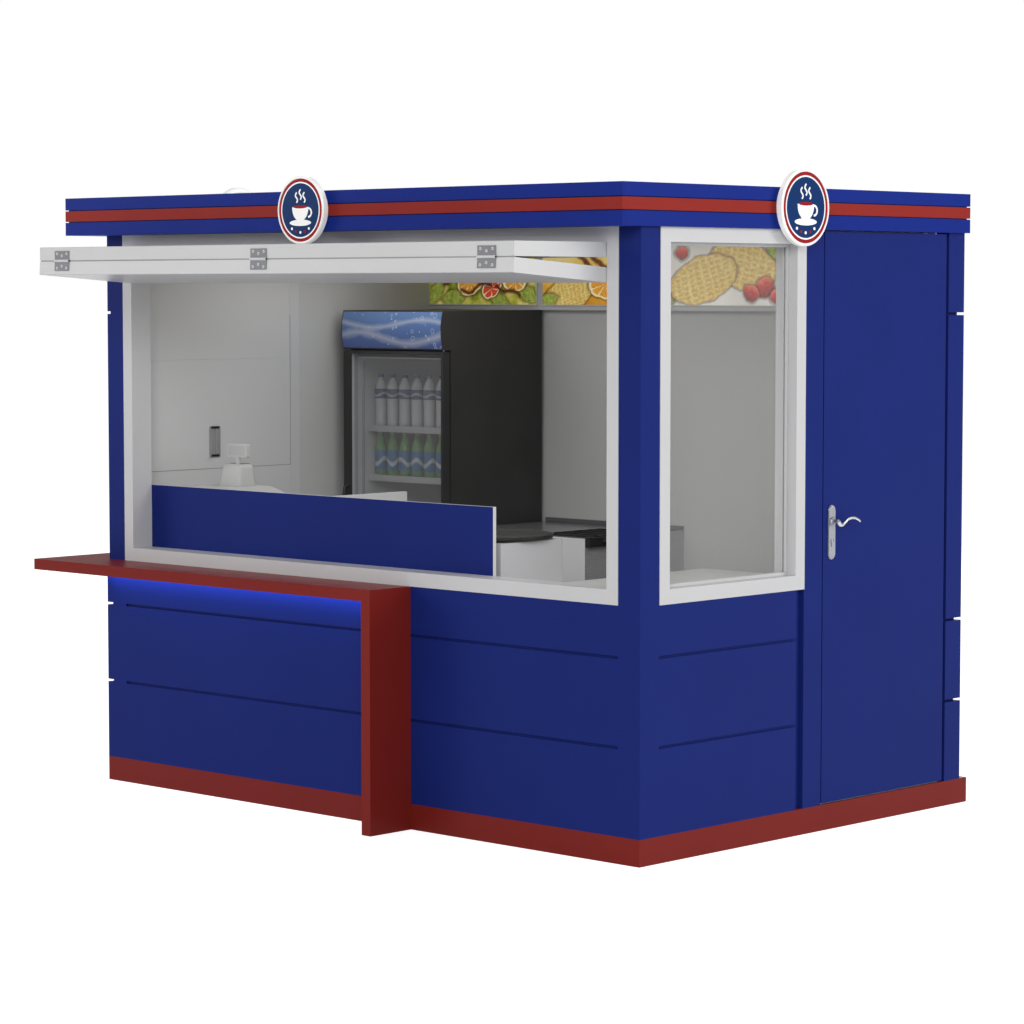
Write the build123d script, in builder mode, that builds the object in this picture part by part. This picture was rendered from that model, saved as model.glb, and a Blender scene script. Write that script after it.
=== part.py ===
from build123d import *
import math
import os

os.makedirs("parts", exist_ok=True)

# Street kiosk: a boxed sandwich-panel cabin with a folded-up shutter over a wide
# service opening, a red wrap-round counter and a flat roof edged by a striped fascia.
# Millimetres, +Z up. The origin is on the ground under the middle of the walls, the
# service side faces -Y and the door side faces +X.

# Walls and base
wall_length = 3000
wall_depth = 1980
wall_thickness = 100
eaves_height = 2311
plinth_height = 100
plinth_board = 20
plinth_back_step = 49
lower_cladding_proud = 16
post_width = 105
groove_heights = (426, 755, 1988)
groove_width = 11
groove_depth = 20

# Roof and fascia
overhang_front = 118
overhang_left = 111
overhang_right = 15
overhang_back = 16
fascia_board = 10
fascia_lower_height = 54
fascia_stripe_height = 44
fascia_upper_height = 50
fascia_shadow_gap = 4
parapet_step = 30
board_gap = 0.5

# Window casings
casing_width = 55
casing_proud = 3
sill_bottom = 945
left_window_depth = 915
glass_thickness = 6

# Door
door_post_width = 111
door_opening = 814
door_thickness = 45
door_free_gap = 6
door_hinge_gap = 18
door_end_gap = 6
door_pivot_inset = 36
door_pivot_depth = 32
door_pin_radius = 7
door_pin_depth = 25
pin_clearance = 0.1
stop_thickness = 24
stop_cover = 20
stop_relief = 46
recess_width = 45

# Door handle
handle_edge_distance = 47
handle_height = 1197
plate_width = 44
plate_length = 210
plate_thickness = 8
plate_drop = 43
spindle_radius = 7
lever_width = 12
lever_thickness = 11
lever_dip = 13
lever_arch = 10
lever_tip_drop = 8
lever_length = 140
lever_standoff = 38

# Counter
counter_depth = 219
counter_thickness = 45
counter_leg_thickness = 48
counter_right_end = 329
light_strip_width = 16
light_strip_height = 12

# Shutter
leaf_thickness = 54
leaf_length = 496
leaf_side_gap = 5
leaf_fold_gap = 3
leaf_fold_angle = 4
shutter_reach = 484
butt_width = 90
butt_height = 80
butt_thickness = 3
butt_knuckle = 6
butt_left_distance = 145
butt_right_distance = 132

# Side hatch
hatch_bottom = 1312

# Guard board
guard_thickness = 18
guard_top = 1262
guard_clearance = 60
guard_right_end = 672
guard_return_x = -230
guard_return_length = 408

# Worktops and cabinets
front_cabinet_depth = 500
front_worktop_height = 900
side_worktop_width = 400
side_worktop_length = 850
side_worktop_thickness = 40
back_counter_length = 1050
back_counter_depth = 640
back_counter_height = 869
service_box_length = 820
service_box_height = 176
cabinet_gap = 16

# Fridge
fridge_width = 626
fridge_depth = 630
fridge_height = 1893
fridge_left_gap = 68
fridge_back_gap = 22
fridge_wall = 42
fridge_base = 180
fridge_header_height = 172
fridge_header_bulge = 14
fridge_door_thickness = 40
fridge_door_gap = 7
fridge_door_end_gap = 6
fridge_left_stile = 50
fridge_right_stile = 14
fridge_rail = 14
fridge_glass_thickness = 8
fridge_pin_radius = 4
fridge_pin_depth = 12
fridge_pin_side = 8
fridge_pin_front = 12
shelf_setback = 68
shelf_thickness = 22
shelf_pitch = 222
shelf_top = 1474
shelf_count = 5

# Bottles
bottle_radius = 29
bottle_heights = (232, 198)
bottle_pitch = 77
bottle_side_gap = 5
bottle_setback = 10

# Menu boards
menu_bottom = 1994
menu_depth = 40

# Counter-top equipment
crepe_plate_radius = 210
crepe_plate_thickness = 24
crepe_body_side = 350
crepe_body_height = 215
crepe_corner = 6
crepe_x = 460
crepe_from_wall = 260
till_stand_depth = 220
till_stand_height = 365
till_stand_left = 128
till_stand_level = 112
till_stand_slope = 160
till_stand_drop = 30
till_stand_corner = 12
till_x = -992
till_setback = 154
till_length = 130
till_depth = 100
till_body_height = 90
till_taper = 22
till_corner = 14
till_neck_radius = 9
till_neck_length = 60
till_display_length = 125
till_display_depth = 22
till_display_height = 57
griddle_length = 226
griddle_depth = 300
griddle_setback = 50
griddle_thickness = 25

# Round signs
front_sign_diameter = 264
side_sign_diameter = 290
sign_thickness = 40
sign_drop = 75
front_sign_x = -115
side_sign_y = -112

# Worked out from the sizes above
plinth_left = -wall_length / 2
left = plinth_left + lower_cladding_proud
right = wall_length / 2
front = -wall_depth / 2
back = wall_depth / 2
inner_left = plinth_left + wall_thickness
inner_right = right - wall_thickness
inner_front = front + wall_thickness
inner_back = back - wall_thickness
plinth_back = back + plinth_back_step
opening_bottom = sill_bottom + casing_width
opening_top = eaves_height - casing_width
counter_bottom = sill_bottom - counter_thickness
guard_bottom = front_worktop_height + guard_clearance


def block(x, y, z, mode=Mode.ADD):
    """A rectangular solid between two values on each axis."""
    middle = ((x[0] + x[1]) / 2, (y[0] + y[1]) / 2, (z[0] + z[1]) / 2)
    with Locations(middle):
        Box(x[1] - x[0], y[1] - y[0], z[1] - z[0], mode=mode)


def grooves(x, y, heights):
    """Shadow grooves cut across a face at the given heights."""
    for height in heights:
        block(x, y, (height - groove_width / 2, height + groove_width / 2), Mode.SUBTRACT)


def save(piece, name):
    """Label a finished piece and write its STEP file."""
    piece.part.label = name
    export_step(piece.part, f"parts/{name}.step")


low_grooves = groove_heights[:2]
left_skin = (plinth_left, left + groove_depth)
right_skin = (right - groove_depth, right)
front_skin = (front, front + groove_depth)
back_skin = (back - groove_depth, back)

# --- Base ---------------------------------------------------------------------

door_post_front = back - post_width - door_opening - door_post_width
door_opening_front = door_post_front + door_post_width
door_opening_back = back - post_width
leaf_front = door_opening_front + door_free_gap
leaf_back = door_opening_back - door_hinge_gap
leaf_outer = right
leaf_inner = right - door_thickness
leaf_bottom = plinth_height + door_end_gap
leaf_top = eaves_height - door_end_gap
pivot_x = right - door_pivot_depth
pivot_y = leaf_back - door_pivot_inset
pin_hole_radius = door_pin_radius + pin_clearance

with BuildPart() as base_floor:
    block(
        (plinth_left + plinth_board, right - plinth_board),
        (front + plinth_board, plinth_back - plinth_board),
        (0, plinth_height),
    )
    with Locations((pivot_x, pivot_y, plinth_height - door_pin_depth / 2)):
        Cylinder(pin_hole_radius, door_pin_depth, mode=Mode.SUBTRACT)
save(base_floor, "base_floor")

with BuildPart() as plinth_boards:
    for y in ((front, front + plinth_board), (plinth_back - plinth_board, plinth_back)):
        block((plinth_left, right), y, (0, plinth_height))
    end_span = (front + plinth_board + board_gap, plinth_back - plinth_board - board_gap)
    block((plinth_left, plinth_left + plinth_board), end_span, (0, plinth_height))
    block((right - plinth_board, right), end_span, (0, plinth_height))
save(plinth_boards, "plinth_boards")

# --- Posts and walls ----------------------------------------------------------

post_rise = (plinth_height, eaves_height)
lower_rise = (plinth_height, sill_bottom)

with BuildPart() as corner_posts:
    block((left, left + post_width), (front, front + post_width), post_rise)
    block((plinth_left, left), (front, front + post_width), (plinth_height, counter_bottom))
    block((right - post_width, right), (front, front + post_width), post_rise)
    block((left, left + post_width), (back - post_width, back), post_rise)
    block((plinth_left, left), (back - post_width, back), lower_rise)
    block((right - post_width, right), (back - post_width, back), post_rise)
    grooves(left_skin, (front, front + post_width), groove_heights)
    grooves(left_skin, (back - post_width, back), groove_heights)
    grooves((left, left + post_width), back_skin, groove_heights)
    grooves((right - post_width, right), back_skin, groove_heights)
    grooves(right_skin, (back - post_width, back), groove_heights)
    block((inner_left, inner_right), (inner_front, inner_back), post_rise, Mode.SUBTRACT)
save(corner_posts, "corner_posts")

with BuildPart() as door_post:
    block((inner_right, right), (door_post_front, door_opening_front), post_rise)
save(door_post, "door_post")

with BuildPart() as front_wall:
    front_wall_span = (left + post_width, right - post_width)
    block(front_wall_span, (front, inner_front), lower_rise)
    grooves(front_wall_span, front_skin, low_grooves)
save(front_wall, "front_wall")

with BuildPart() as right_wall:
    right_wall_span = (front + post_width, door_post_front)
    block((inner_right, right), right_wall_span, lower_rise)
    grooves(right_skin, (front + post_width, door_post_front), low_grooves)
    block(
        right_skin,
        (door_post_front - recess_width, door_post_front),
        lower_rise,
        Mode.SUBTRACT,
    )
save(right_wall, "right_wall")

left_casing_front = front + post_width
left_casing_back = left_casing_front + left_window_depth

with BuildPart() as left_wall:
    left_wall_span = (front + post_width, back - post_width)
    block((plinth_left, inner_left), left_wall_span, (plinth_height, counter_bottom))
    block((left, inner_left), left_wall_span, (counter_bottom, sill_bottom))
    grooves(left_skin, left_wall_span, low_grooves)
    rear_span = (left_casing_back, back - post_width)
    block((left, inner_left), rear_span, (sill_bottom, eaves_height))
    grooves(left_skin, rear_span, groove_heights[2:])
save(left_wall, "left_wall")

with BuildPart() as back_wall:
    back_wall_span = (left + post_width, right - post_width)
    block(back_wall_span, (inner_back, back), post_rise)
    grooves(back_wall_span, back_skin, groove_heights)
save(back_wall, "back_wall")

# --- Roof ---------------------------------------------------------------------

fascia_x = (plinth_left - overhang_left, right + overhang_right)
fascia_y = (front - overhang_front, back + overhang_back)
fascia_lower_top = eaves_height + fascia_lower_height
fascia_stripe_bottom = fascia_lower_top + fascia_shadow_gap
fascia_stripe_top = fascia_stripe_bottom + fascia_stripe_height
fascia_upper_bottom = fascia_stripe_top + fascia_shadow_gap
roof_top = fascia_upper_bottom + fascia_upper_height
sign_height = roof_top - sign_drop

with BuildPart() as roof_panel:
    block(
        (fascia_x[0] + fascia_board, fascia_x[1] - fascia_board),
        (fascia_y[0] + fascia_board, fascia_y[1] - fascia_board),
        (eaves_height, roof_top - parapet_step),
    )
    with Locations((pivot_x, pivot_y, eaves_height + door_pin_depth / 2)):
        Cylinder(pin_hole_radius, door_pin_depth, mode=Mode.SUBTRACT)
save(roof_panel, "roof_panel")


def fascia_boards(z):
    """Four edge boards round the roof, the side ones held between the long ones."""
    for y in (
        (fascia_y[0], fascia_y[0] + fascia_board),
        (fascia_y[1] - fascia_board, fascia_y[1]),
    ):
        block(fascia_x, y, z)
    side = (fascia_y[0] + fascia_board + board_gap, fascia_y[1] - fascia_board - board_gap)
    block((fascia_x[0], fascia_x[0] + fascia_board), side, z)
    block((fascia_x[1] - fascia_board, fascia_x[1]), side, z)


with BuildPart() as fascia_bands:
    fascia_boards((eaves_height, fascia_lower_top))
    fascia_boards((fascia_upper_bottom, roof_top))
save(fascia_bands, "fascia_bands")

with BuildPart() as fascia_stripe:
    fascia_boards((fascia_stripe_bottom, fascia_stripe_top))
save(fascia_stripe, "fascia_stripe")

# --- Window casings -----------------------------------------------------------

front_casing_x = (left + post_width, right - post_width)
side_casing_y = (front + post_width, door_post_front)
left_casing_y = (left_casing_front, left_casing_back)
casing_front_y = (front - casing_proud, inner_front)
casing_right_x = (inner_right, right + casing_proud)
casing_left_x = (left - casing_proud, inner_left)


def shrunk(span, amount):
    """A span made shorter by an amount at both ends."""
    return (span[0] + amount, span[1] - amount)


def cross_members(z):
    """One level member of each of the three casings."""
    block(front_casing_x, casing_front_y, z)
    block(casing_right_x, side_casing_y, z)
    block(casing_left_x, left_casing_y, z)


with BuildPart() as window_sills:
    cross_members((sill_bottom, opening_bottom))
save(window_sills, "window_sills")

with BuildPart() as window_heads:
    cross_members((opening_top, eaves_height))
save(window_heads, "window_heads")

with BuildPart() as window_jambs:
    jamb_rise = (opening_bottom, opening_top)
    for end, side in ((0, 1), (1, -1)):
        x = sorted((front_casing_x[end], front_casing_x[end] + side * casing_width))
        block(x, casing_front_y, jamb_rise)
        y = sorted((side_casing_y[end], side_casing_y[end] + side * casing_width))
        block(casing_right_x, y, jamb_rise)
        y = sorted((left_casing_y[end], left_casing_y[end] + side * casing_width))
        block(casing_left_x, y, jamb_rise)
save(window_jambs, "window_jambs")

front_opening_x = shrunk(front_casing_x, casing_width)
side_opening_y = shrunk(side_casing_y, casing_width)
left_opening_y = shrunk(left_casing_y, casing_width)

with BuildPart() as side_window_glass:
    glass_middle = right - wall_thickness / 2
    block(
        (glass_middle - glass_thickness / 2, glass_middle + glass_thickness / 2),
        side_opening_y,
        (opening_bottom, opening_top),
    )
save(side_window_glass, "side_window_glass")

# --- Folded-up shutter over the service opening -------------------------------

shutter_x = shrunk(front_opening_x, leaf_side_gap)
shutter_middle = (shutter_x[0] + shutter_x[1]) / 2
shutter_outer = front - shutter_reach
upper_leaf_top = opening_top - board_gap
upper_leaf_bottom = upper_leaf_top - leaf_thickness
lower_leaf_top = upper_leaf_bottom - leaf_fold_gap

with BuildPart() as shutter_upper_leaf:
    block(
        shutter_x,
        (shutter_outer, shutter_outer + leaf_length),
        (upper_leaf_bottom, upper_leaf_top),
    )
    chamfer(shutter_upper_leaf.edges().filter_by(Axis.X), length=2)
save(shutter_upper_leaf, "shutter_upper_leaf")

with BuildPart() as shutter_lower_leaf:
    fold_edge = Location((shutter_middle, shutter_outer, lower_leaf_top), (-leaf_fold_angle, 0, 0))
    with Locations(fold_edge):
        Box(
            shutter_x[1] - shutter_x[0],
            leaf_length,
            leaf_thickness,
            align=(Align.CENTER, Align.MIN, Align.MAX),
        )
    chamfer(shutter_lower_leaf.edges().filter_by(Axis.X), length=2)
save(shutter_lower_leaf, "shutter_lower_leaf")

with BuildPart() as shutter_hinges:
    fold_height = (upper_leaf_bottom + lower_leaf_top) / 2
    knuckle_y = shutter_outer - butt_thickness - board_gap
    for x in (
        shutter_x[0] + butt_left_distance,
        shutter_middle,
        shutter_x[1] - butt_right_distance,
    ):
        block(
            (x - butt_width / 2, x + butt_width / 2),
            (shutter_outer - butt_thickness, shutter_outer),
            (fold_height, fold_height + butt_height / 2),
        )
        plate_edge = Location((x, shutter_outer, lower_leaf_top), (-leaf_fold_angle, 0, 0))
        with Locations(plate_edge):
            Box(
                butt_width,
                butt_thickness,
                (butt_height - leaf_fold_gap) / 2,
                align=(Align.CENTER, Align.MAX, Align.MAX),
            )
        with Locations(Location((x, knuckle_y, fold_height), (0, 90, 0))):
            Cylinder(butt_knuckle, butt_width)
        block(
            (x - butt_width / 2, x + butt_width / 2),
            (shutter_outer - board_gap, shutter_outer + butt_knuckle),
            (fold_height - butt_knuckle, fold_height + butt_knuckle),
            Mode.SUBTRACT,
        )
save(shutter_hinges, "shutter_hinges")

# --- Closed hatch in the left wall --------------------------------------------

hatch_x = (inner_left - leaf_thickness, inner_left)
hatch_y = shrunk(left_opening_y, board_gap)
hatch_middle = (hatch_bottom + opening_top) / 2

with BuildPart() as side_hatch:
    block(hatch_x, hatch_y, (opening_bottom, hatch_bottom - board_gap))
    block(hatch_x, hatch_y, (hatch_bottom, hatch_middle - board_gap))
    block(hatch_x, hatch_y, (hatch_middle, opening_top - board_gap))
save(side_hatch, "side_hatch")

# --- Guard boards behind the service sill -------------------------------------

with BuildPart() as guard_boards:
    block(
        (inner_left, guard_right_end),
        (inner_front, inner_front + guard_thickness),
        (guard_bottom, guard_top),
    )
    return_front = inner_front + guard_thickness + board_gap
    block(
        (guard_return_x - guard_thickness / 2, guard_return_x + guard_thickness / 2),
        (return_front, return_front + guard_return_length),
        (front_worktop_height, guard_top),
    )
save(guard_boards, "guard_boards")

# --- Wrap-round counter -------------------------------------------------------

counter_left = plinth_left - counter_depth
counter_front_y = (front - counter_depth, front)
counter_rise = (counter_bottom, sill_bottom)
counter_back_end = left_casing_back

with BuildPart() as counter_top:
    block((counter_left, counter_right_end), counter_front_y, counter_rise)
    block((counter_left, left), (front, counter_back_end), counter_rise)
save(counter_top, "counter_top")

with BuildPart() as counter_legs:
    block(
        (counter_right_end - counter_leg_thickness, counter_right_end),
        counter_front_y,
        (0, counter_bottom),
    )
    block(
        (counter_left, plinth_left),
        (counter_back_end - counter_leg_thickness, counter_back_end),
        (0, counter_bottom),
    )
save(counter_legs, "counter_legs")

with BuildPart() as counter_light:
    block(
        (plinth_left, counter_right_end - counter_leg_thickness),
        (front - light_strip_width, front),
        (counter_bottom - light_strip_height, counter_bottom),
    )
save(counter_light, "counter_light")

# --- Door ---------------------------------------------------------------------

spindle_y = leaf_front + handle_edge_distance
spindle_hole = spindle_radius + pin_clearance

with BuildPart() as door_leaf:
    block((leaf_inner, leaf_outer), (leaf_front, leaf_back), (leaf_bottom, leaf_top))
    with Locations(Location(((leaf_inner + leaf_outer) / 2, spindle_y, handle_height), (0, 90, 0))):
        Cylinder(spindle_hole, door_thickness, mode=Mode.SUBTRACT)
save(door_leaf, "door_leaf")

with BuildPart() as door_pivots:
    pin_reach = door_end_gap + door_pin_depth - pin_clearance
    with Locations((pivot_x, pivot_y, leaf_bottom - pin_reach / 2)):
        Cylinder(door_pin_radius, pin_reach)
    with Locations((pivot_x, pivot_y, leaf_top + pin_reach / 2)):
        Cylinder(door_pin_radius, pin_reach)
save(door_pivots, "door_pivots")

with BuildPart() as handle_plates:
    for face in (leaf_outer, leaf_inner - plate_thickness):
        with BuildSketch(Plane.YZ.offset(face)):
            with Locations((spindle_y, handle_height - plate_drop)):
                SlotOverall(plate_length, plate_width, rotation=90)
            with Locations((spindle_y, handle_height)):
                Circle(spindle_hole, mode=Mode.SUBTRACT)
        extrude(amount=plate_thickness)
save(handle_plates, "handle_plates")

with BuildPart() as door_lever:
    arm_outer = leaf_outer + lever_standoff
    arm_inner = leaf_inner - lever_standoff
    with Locations(Location(((arm_outer + arm_inner) / 2, spindle_y, handle_height), (0, 90, 0))):
        Cylinder(spindle_radius, arm_outer - arm_inner)
    for arm_x in (arm_outer, arm_inner):
        with BuildSketch(Plane.YZ.offset(arm_x - lever_thickness / 2)):
            with BuildLine():
                Spline(
                    (spindle_y - lever_thickness / 2, handle_height),
                    (spindle_y + lever_length * 0.17, handle_height - lever_dip),
                    (spindle_y + lever_length * 0.6, handle_height + lever_arch),
                    (spindle_y + lever_length, handle_height - lever_tip_drop),
                )
            trace(line_width=lever_width)
        extrude(amount=lever_thickness)
save(door_lever, "door_lever")

with BuildPart() as door_stops:
    stop_x = (leaf_inner - door_free_gap - stop_thickness, leaf_inner - door_free_gap)
    hinge_stop_x = (inner_right, inner_right + stop_thickness)
    stop_top = eaves_height - stop_cover - door_end_gap
    block(
        stop_x,
        (door_opening_front, leaf_front + stop_cover),
        (plinth_height, eaves_height),
    )
    block(
        hinge_stop_x,
        (leaf_back - stop_cover, door_opening_back),
        (plinth_height, eaves_height),
    )
    block(
        stop_x,
        (leaf_front + stop_cover + board_gap, pivot_y - stop_relief),
        (stop_top, eaves_height),
    )
save(door_stops, "door_stops")

# --- Menu light box on the back wall ------------------------------------------

menu_x = (inner_left, inner_right)
menu_rise = (menu_bottom, eaves_height)
menu_front = inner_back - menu_depth

with BuildPart() as menu_light_box:
    block(menu_x, (menu_front, inner_back), menu_rise)
save(menu_light_box, "menu_light_box")

# --- Fridge -------------------------------------------------------------------

fridge_x = (inner_left + fridge_left_gap, inner_left + fridge_left_gap + fridge_width)
fridge_back = inner_back - fridge_back_gap
fridge_front = fridge_back - fridge_depth
fridge_body_front = fridge_front + fridge_door_thickness + fridge_door_gap
fridge_foot = plinth_height
fridge_top = plinth_height + fridge_height
header_bottom = fridge_top - fridge_header_height
fridge_door_x = fridge_x
fridge_door_top = header_bottom - fridge_door_end_gap
fridge_door_bottom = fridge_foot + fridge_base + fridge_door_end_gap
fridge_pin_x = fridge_x[1] - fridge_pin_side
fridge_pin_y = fridge_front + fridge_pin_front
fridge_hole = fridge_pin_radius + pin_clearance

with BuildPart() as fridge_cabinet:
    block(fridge_x, (fridge_body_front, fridge_back), (fridge_foot, header_bottom))
    block(
        shrunk(fridge_x, fridge_wall),
        (fridge_body_front, fridge_back - fridge_wall),
        (fridge_foot + fridge_base, header_bottom - fridge_wall),
        Mode.SUBTRACT,
    )
    block(fridge_x, (fridge_front, fridge_body_front), (fridge_foot, fridge_foot + fridge_base))
    with Locations((fridge_pin_x, fridge_pin_y, fridge_foot + fridge_base - fridge_pin_depth / 2)):
        Cylinder(fridge_hole, fridge_pin_depth, mode=Mode.SUBTRACT)
save(fridge_cabinet, "fridge_cabinet")

with BuildPart() as fridge_header:
    header_middle = (header_bottom + fridge_top) / 2
    with BuildSketch(Plane.YZ.offset(fridge_x[0])):
        with BuildLine():
            Line((fridge_back, header_bottom), (fridge_front, header_bottom))
            ThreePointArc(
                (fridge_front, header_bottom),
                (fridge_front - fridge_header_bulge, header_middle),
                (fridge_front, fridge_top),
            )
            Line((fridge_front, fridge_top), (fridge_back, fridge_top))
            Line((fridge_back, fridge_top), (fridge_back, header_bottom))
        make_face()
    extrude(amount=fridge_width)
    with Locations((fridge_pin_x, fridge_pin_y, header_bottom + fridge_pin_depth / 2)):
        Cylinder(fridge_hole, fridge_pin_depth, mode=Mode.SUBTRACT)
save(fridge_header, "fridge_header")

door_glass_x = (fridge_x[0] + fridge_left_stile, fridge_x[1] - fridge_right_stile)
door_glass_z = (fridge_door_bottom + fridge_rail, fridge_door_top - fridge_rail)

with BuildPart() as fridge_door:
    door_y = (fridge_front, fridge_front + fridge_door_thickness)
    block(fridge_door_x, door_y, (fridge_door_bottom, fridge_door_top))
    block(door_glass_x, door_y, door_glass_z, Mode.SUBTRACT)
save(fridge_door, "fridge_door")

with BuildPart() as fridge_door_pins:
    fridge_pin_reach = fridge_door_end_gap + fridge_pin_depth - pin_clearance
    for height, side in ((fridge_door_top, 1), (fridge_door_bottom, -1)):
        with Locations((fridge_pin_x, fridge_pin_y, height + side * fridge_pin_reach / 2)):
            Cylinder(fridge_pin_radius, fridge_pin_reach)
save(fridge_door_pins, "fridge_door_pins")

with BuildPart() as fridge_glass:
    glass_front = fridge_front + (fridge_door_thickness - fridge_glass_thickness) / 2
    block(door_glass_x, (glass_front, glass_front + fridge_glass_thickness), door_glass_z)
save(fridge_glass, "fridge_glass")

shelf_x = shrunk(fridge_x, fridge_wall)
shelf_y = (fridge_body_front + shelf_setback, fridge_back - fridge_wall)

with BuildPart() as fridge_shelves:
    for index in range(shelf_count):
        top = shelf_top - index * shelf_pitch
        block(shelf_x, shelf_y, (top - shelf_thickness, top))
save(fridge_shelves, "fridge_shelves")

with BuildPart() as bottles:
    bottle_y = shelf_y[0] + bottle_setback + bottle_radius
    row_width = shelf_x[1] - shelf_x[0] - 2 * (bottle_radius + bottle_side_gap)
    bottle_count = int(row_width // bottle_pitch) + 1
    first_x = (shelf_x[0] + shelf_x[1] - (bottle_count - 1) * bottle_pitch) / 2
    neck = bottle_radius * 0.42
    for row, bottle_height in enumerate(bottle_heights):
        base = shelf_top - row * shelf_pitch
        for index in range(bottle_count):
            stand = Plane(
                origin=(first_x + index * bottle_pitch, bottle_y, base),
                x_dir=(1, 0, 0),
                z_dir=(0, -1, 0),
            )
            with BuildSketch(stand):
                with BuildLine():
                    Polyline(
                        (0, 0),
                        (bottle_radius, 0),
                        (bottle_radius, bottle_height * 0.58),
                    )
                    Spline(
                        (bottle_radius, bottle_height * 0.58),
                        (neck, bottle_height * 0.88),
                        tangents=((0, 1), (0, 1)),
                    )
                    Polyline(
                        (neck, bottle_height * 0.88),
                        (neck, bottle_height),
                        (0, bottle_height),
                        (0, 0),
                    )
                make_face()
            revolve(axis=Axis((stand.origin.X, stand.origin.Y, base), (0, 0, 1)))
save(bottles, "bottles")

# --- Cabinets and worktops ----------------------------------------------------

with BuildPart() as front_cabinet:
    front_cabinet_x = (inner_left, inner_right - side_worktop_width - cabinet_gap)
    block(
        front_cabinet_x,
        (inner_front, inner_front + front_cabinet_depth),
        (plinth_height, front_worktop_height),
    )
save(front_cabinet, "front_cabinet")

with BuildPart() as side_worktop:
    side_worktop_x = (inner_right - side_worktop_width, inner_right)
    side_worktop_top = opening_bottom - 6
    side_worktop_y = (inner_front, inner_front + side_worktop_length)
    block(side_worktop_x, side_worktop_y, (side_worktop_top - side_worktop_thickness, side_worktop_top))
    block(
        (side_worktop_x[0], side_worktop_x[0] + guard_thickness),
        side_worktop_y,
        (plinth_height, side_worktop_top - side_worktop_thickness),
    )
save(side_worktop, "side_worktop")

back_counter_x = (fridge_x[1] + cabinet_gap, fridge_x[1] + cabinet_gap + back_counter_length)
back_counter_y = (inner_back - back_counter_depth, inner_back)

service_box_x = (back_counter_x[0], back_counter_x[0] + service_box_length - cabinet_gap)
service_box_top = back_counter_height + service_box_height

with BuildPart() as back_counter:
    block(back_counter_x, back_counter_y, (plinth_height, back_counter_height))
    block(service_box_x, back_counter_y, (back_counter_height, service_box_top))
save(back_counter, "back_counter")

# --- Equipment on the worktops ------------------------------------------------

crepe_y = inner_front + crepe_from_wall
crepe_top = front_worktop_height + crepe_body_height

with BuildPart() as crepe_maker:
    half = crepe_body_side / 2
    block(
        (crepe_x - half, crepe_x + half),
        (crepe_y - half, crepe_y + half),
        (front_worktop_height, crepe_top),
    )
    fillet(crepe_maker.edges().filter_by(Axis.Z), radius=crepe_corner)
save(crepe_maker, "crepe_maker")

with BuildPart() as crepe_plate:
    with Locations((crepe_x, crepe_y, crepe_top + crepe_plate_thickness / 2)):
        Cylinder(crepe_plate_radius, crepe_plate_thickness)
    chamfer(crepe_plate.edges().group_by(Axis.Z)[-1], length=3)
save(crepe_plate, "crepe_plate")

till_stand_x = (till_x - till_stand_left, till_x + till_stand_level + till_stand_slope)
till_stand_front = inner_front + guard_thickness + cabinet_gap
till_stand_y = (till_stand_front, till_stand_front + till_stand_depth)
till_stand_top = front_worktop_height + till_stand_height
till_stand_end = till_stand_top - till_stand_drop

with BuildPart() as till_stand:
    with BuildSketch(Plane.XZ.offset(-till_stand_y[0])):
        with BuildLine():
            Polyline(
                (till_stand_x[1], till_stand_end),
                (till_stand_x[1], front_worktop_height),
                (till_stand_x[0], front_worktop_height),
                (till_stand_x[0], till_stand_top),
                (till_x + till_stand_level, till_stand_top),
            )
            Spline(
                (till_x + till_stand_level, till_stand_top),
                (till_stand_x[1], till_stand_end),
                tangents=((1, 0), (1, 0)),
            )
        make_face()
    extrude(amount=-till_stand_depth)
    fillet(till_stand.edges().filter_by(Axis.Z), radius=till_stand_corner)
save(till_stand, "till_stand")

with BuildPart() as till:
    till_y = till_stand_y[0] + till_setback
    till_body_top = till_stand_top + till_body_height
    with BuildSketch(Plane.XY.offset(till_stand_top)):
        with Locations((till_x, till_y)):
            RectangleRounded(till_length, till_depth, till_corner)
    with BuildSketch(Plane.XY.offset(till_body_top)):
        with Locations((till_x, till_y + till_taper / 4)):
            RectangleRounded(till_length - till_taper, till_depth - till_taper, till_corner)
    loft()
    neck_y = till_y + till_taper / 2
    with Locations((till_x, neck_y, till_body_top)):
        Cylinder(till_neck_radius, till_neck_length)
    display_bottom = till_body_top + till_neck_length / 2 - 2
    block(
        (till_x - till_display_length / 2, till_x + till_display_length / 2),
        (neck_y - till_display_depth / 2, neck_y + till_display_depth / 2),
        (display_bottom, display_bottom + till_display_height),
    )
save(till, "till")

with BuildPart() as griddle:
    griddle_front = back_counter_y[0] + griddle_setback
    griddle_y = (griddle_front, griddle_front + griddle_depth)
    block(
        (service_box_x[1] - griddle_length, service_box_x[1]),
        griddle_y,
        (service_box_top, service_box_top + griddle_thickness),
    )
save(griddle, "griddle")

# --- Round signs --------------------------------------------------------------

with BuildPart() as round_signs:
    front_face = fascia_y[0] - sign_thickness / 2
    with Locations(Location((front_sign_x, front_face, sign_height), (90, 0, 0))):
        Cylinder(front_sign_diameter / 2, sign_thickness)
    for x in (fascia_x[0] - sign_thickness / 2, fascia_x[1] + sign_thickness / 2):
        with Locations(Location((x, side_sign_y, sign_height), (0, 90, 0))):
            Cylinder(side_sign_diameter / 2, sign_thickness)
    fillet(round_signs.edges().filter_by(GeomType.CIRCLE), radius=3)
save(round_signs, "round_signs")
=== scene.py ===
import math

import bmesh
import bpy
from mathutils import Euler, Matrix, Vector


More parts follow.
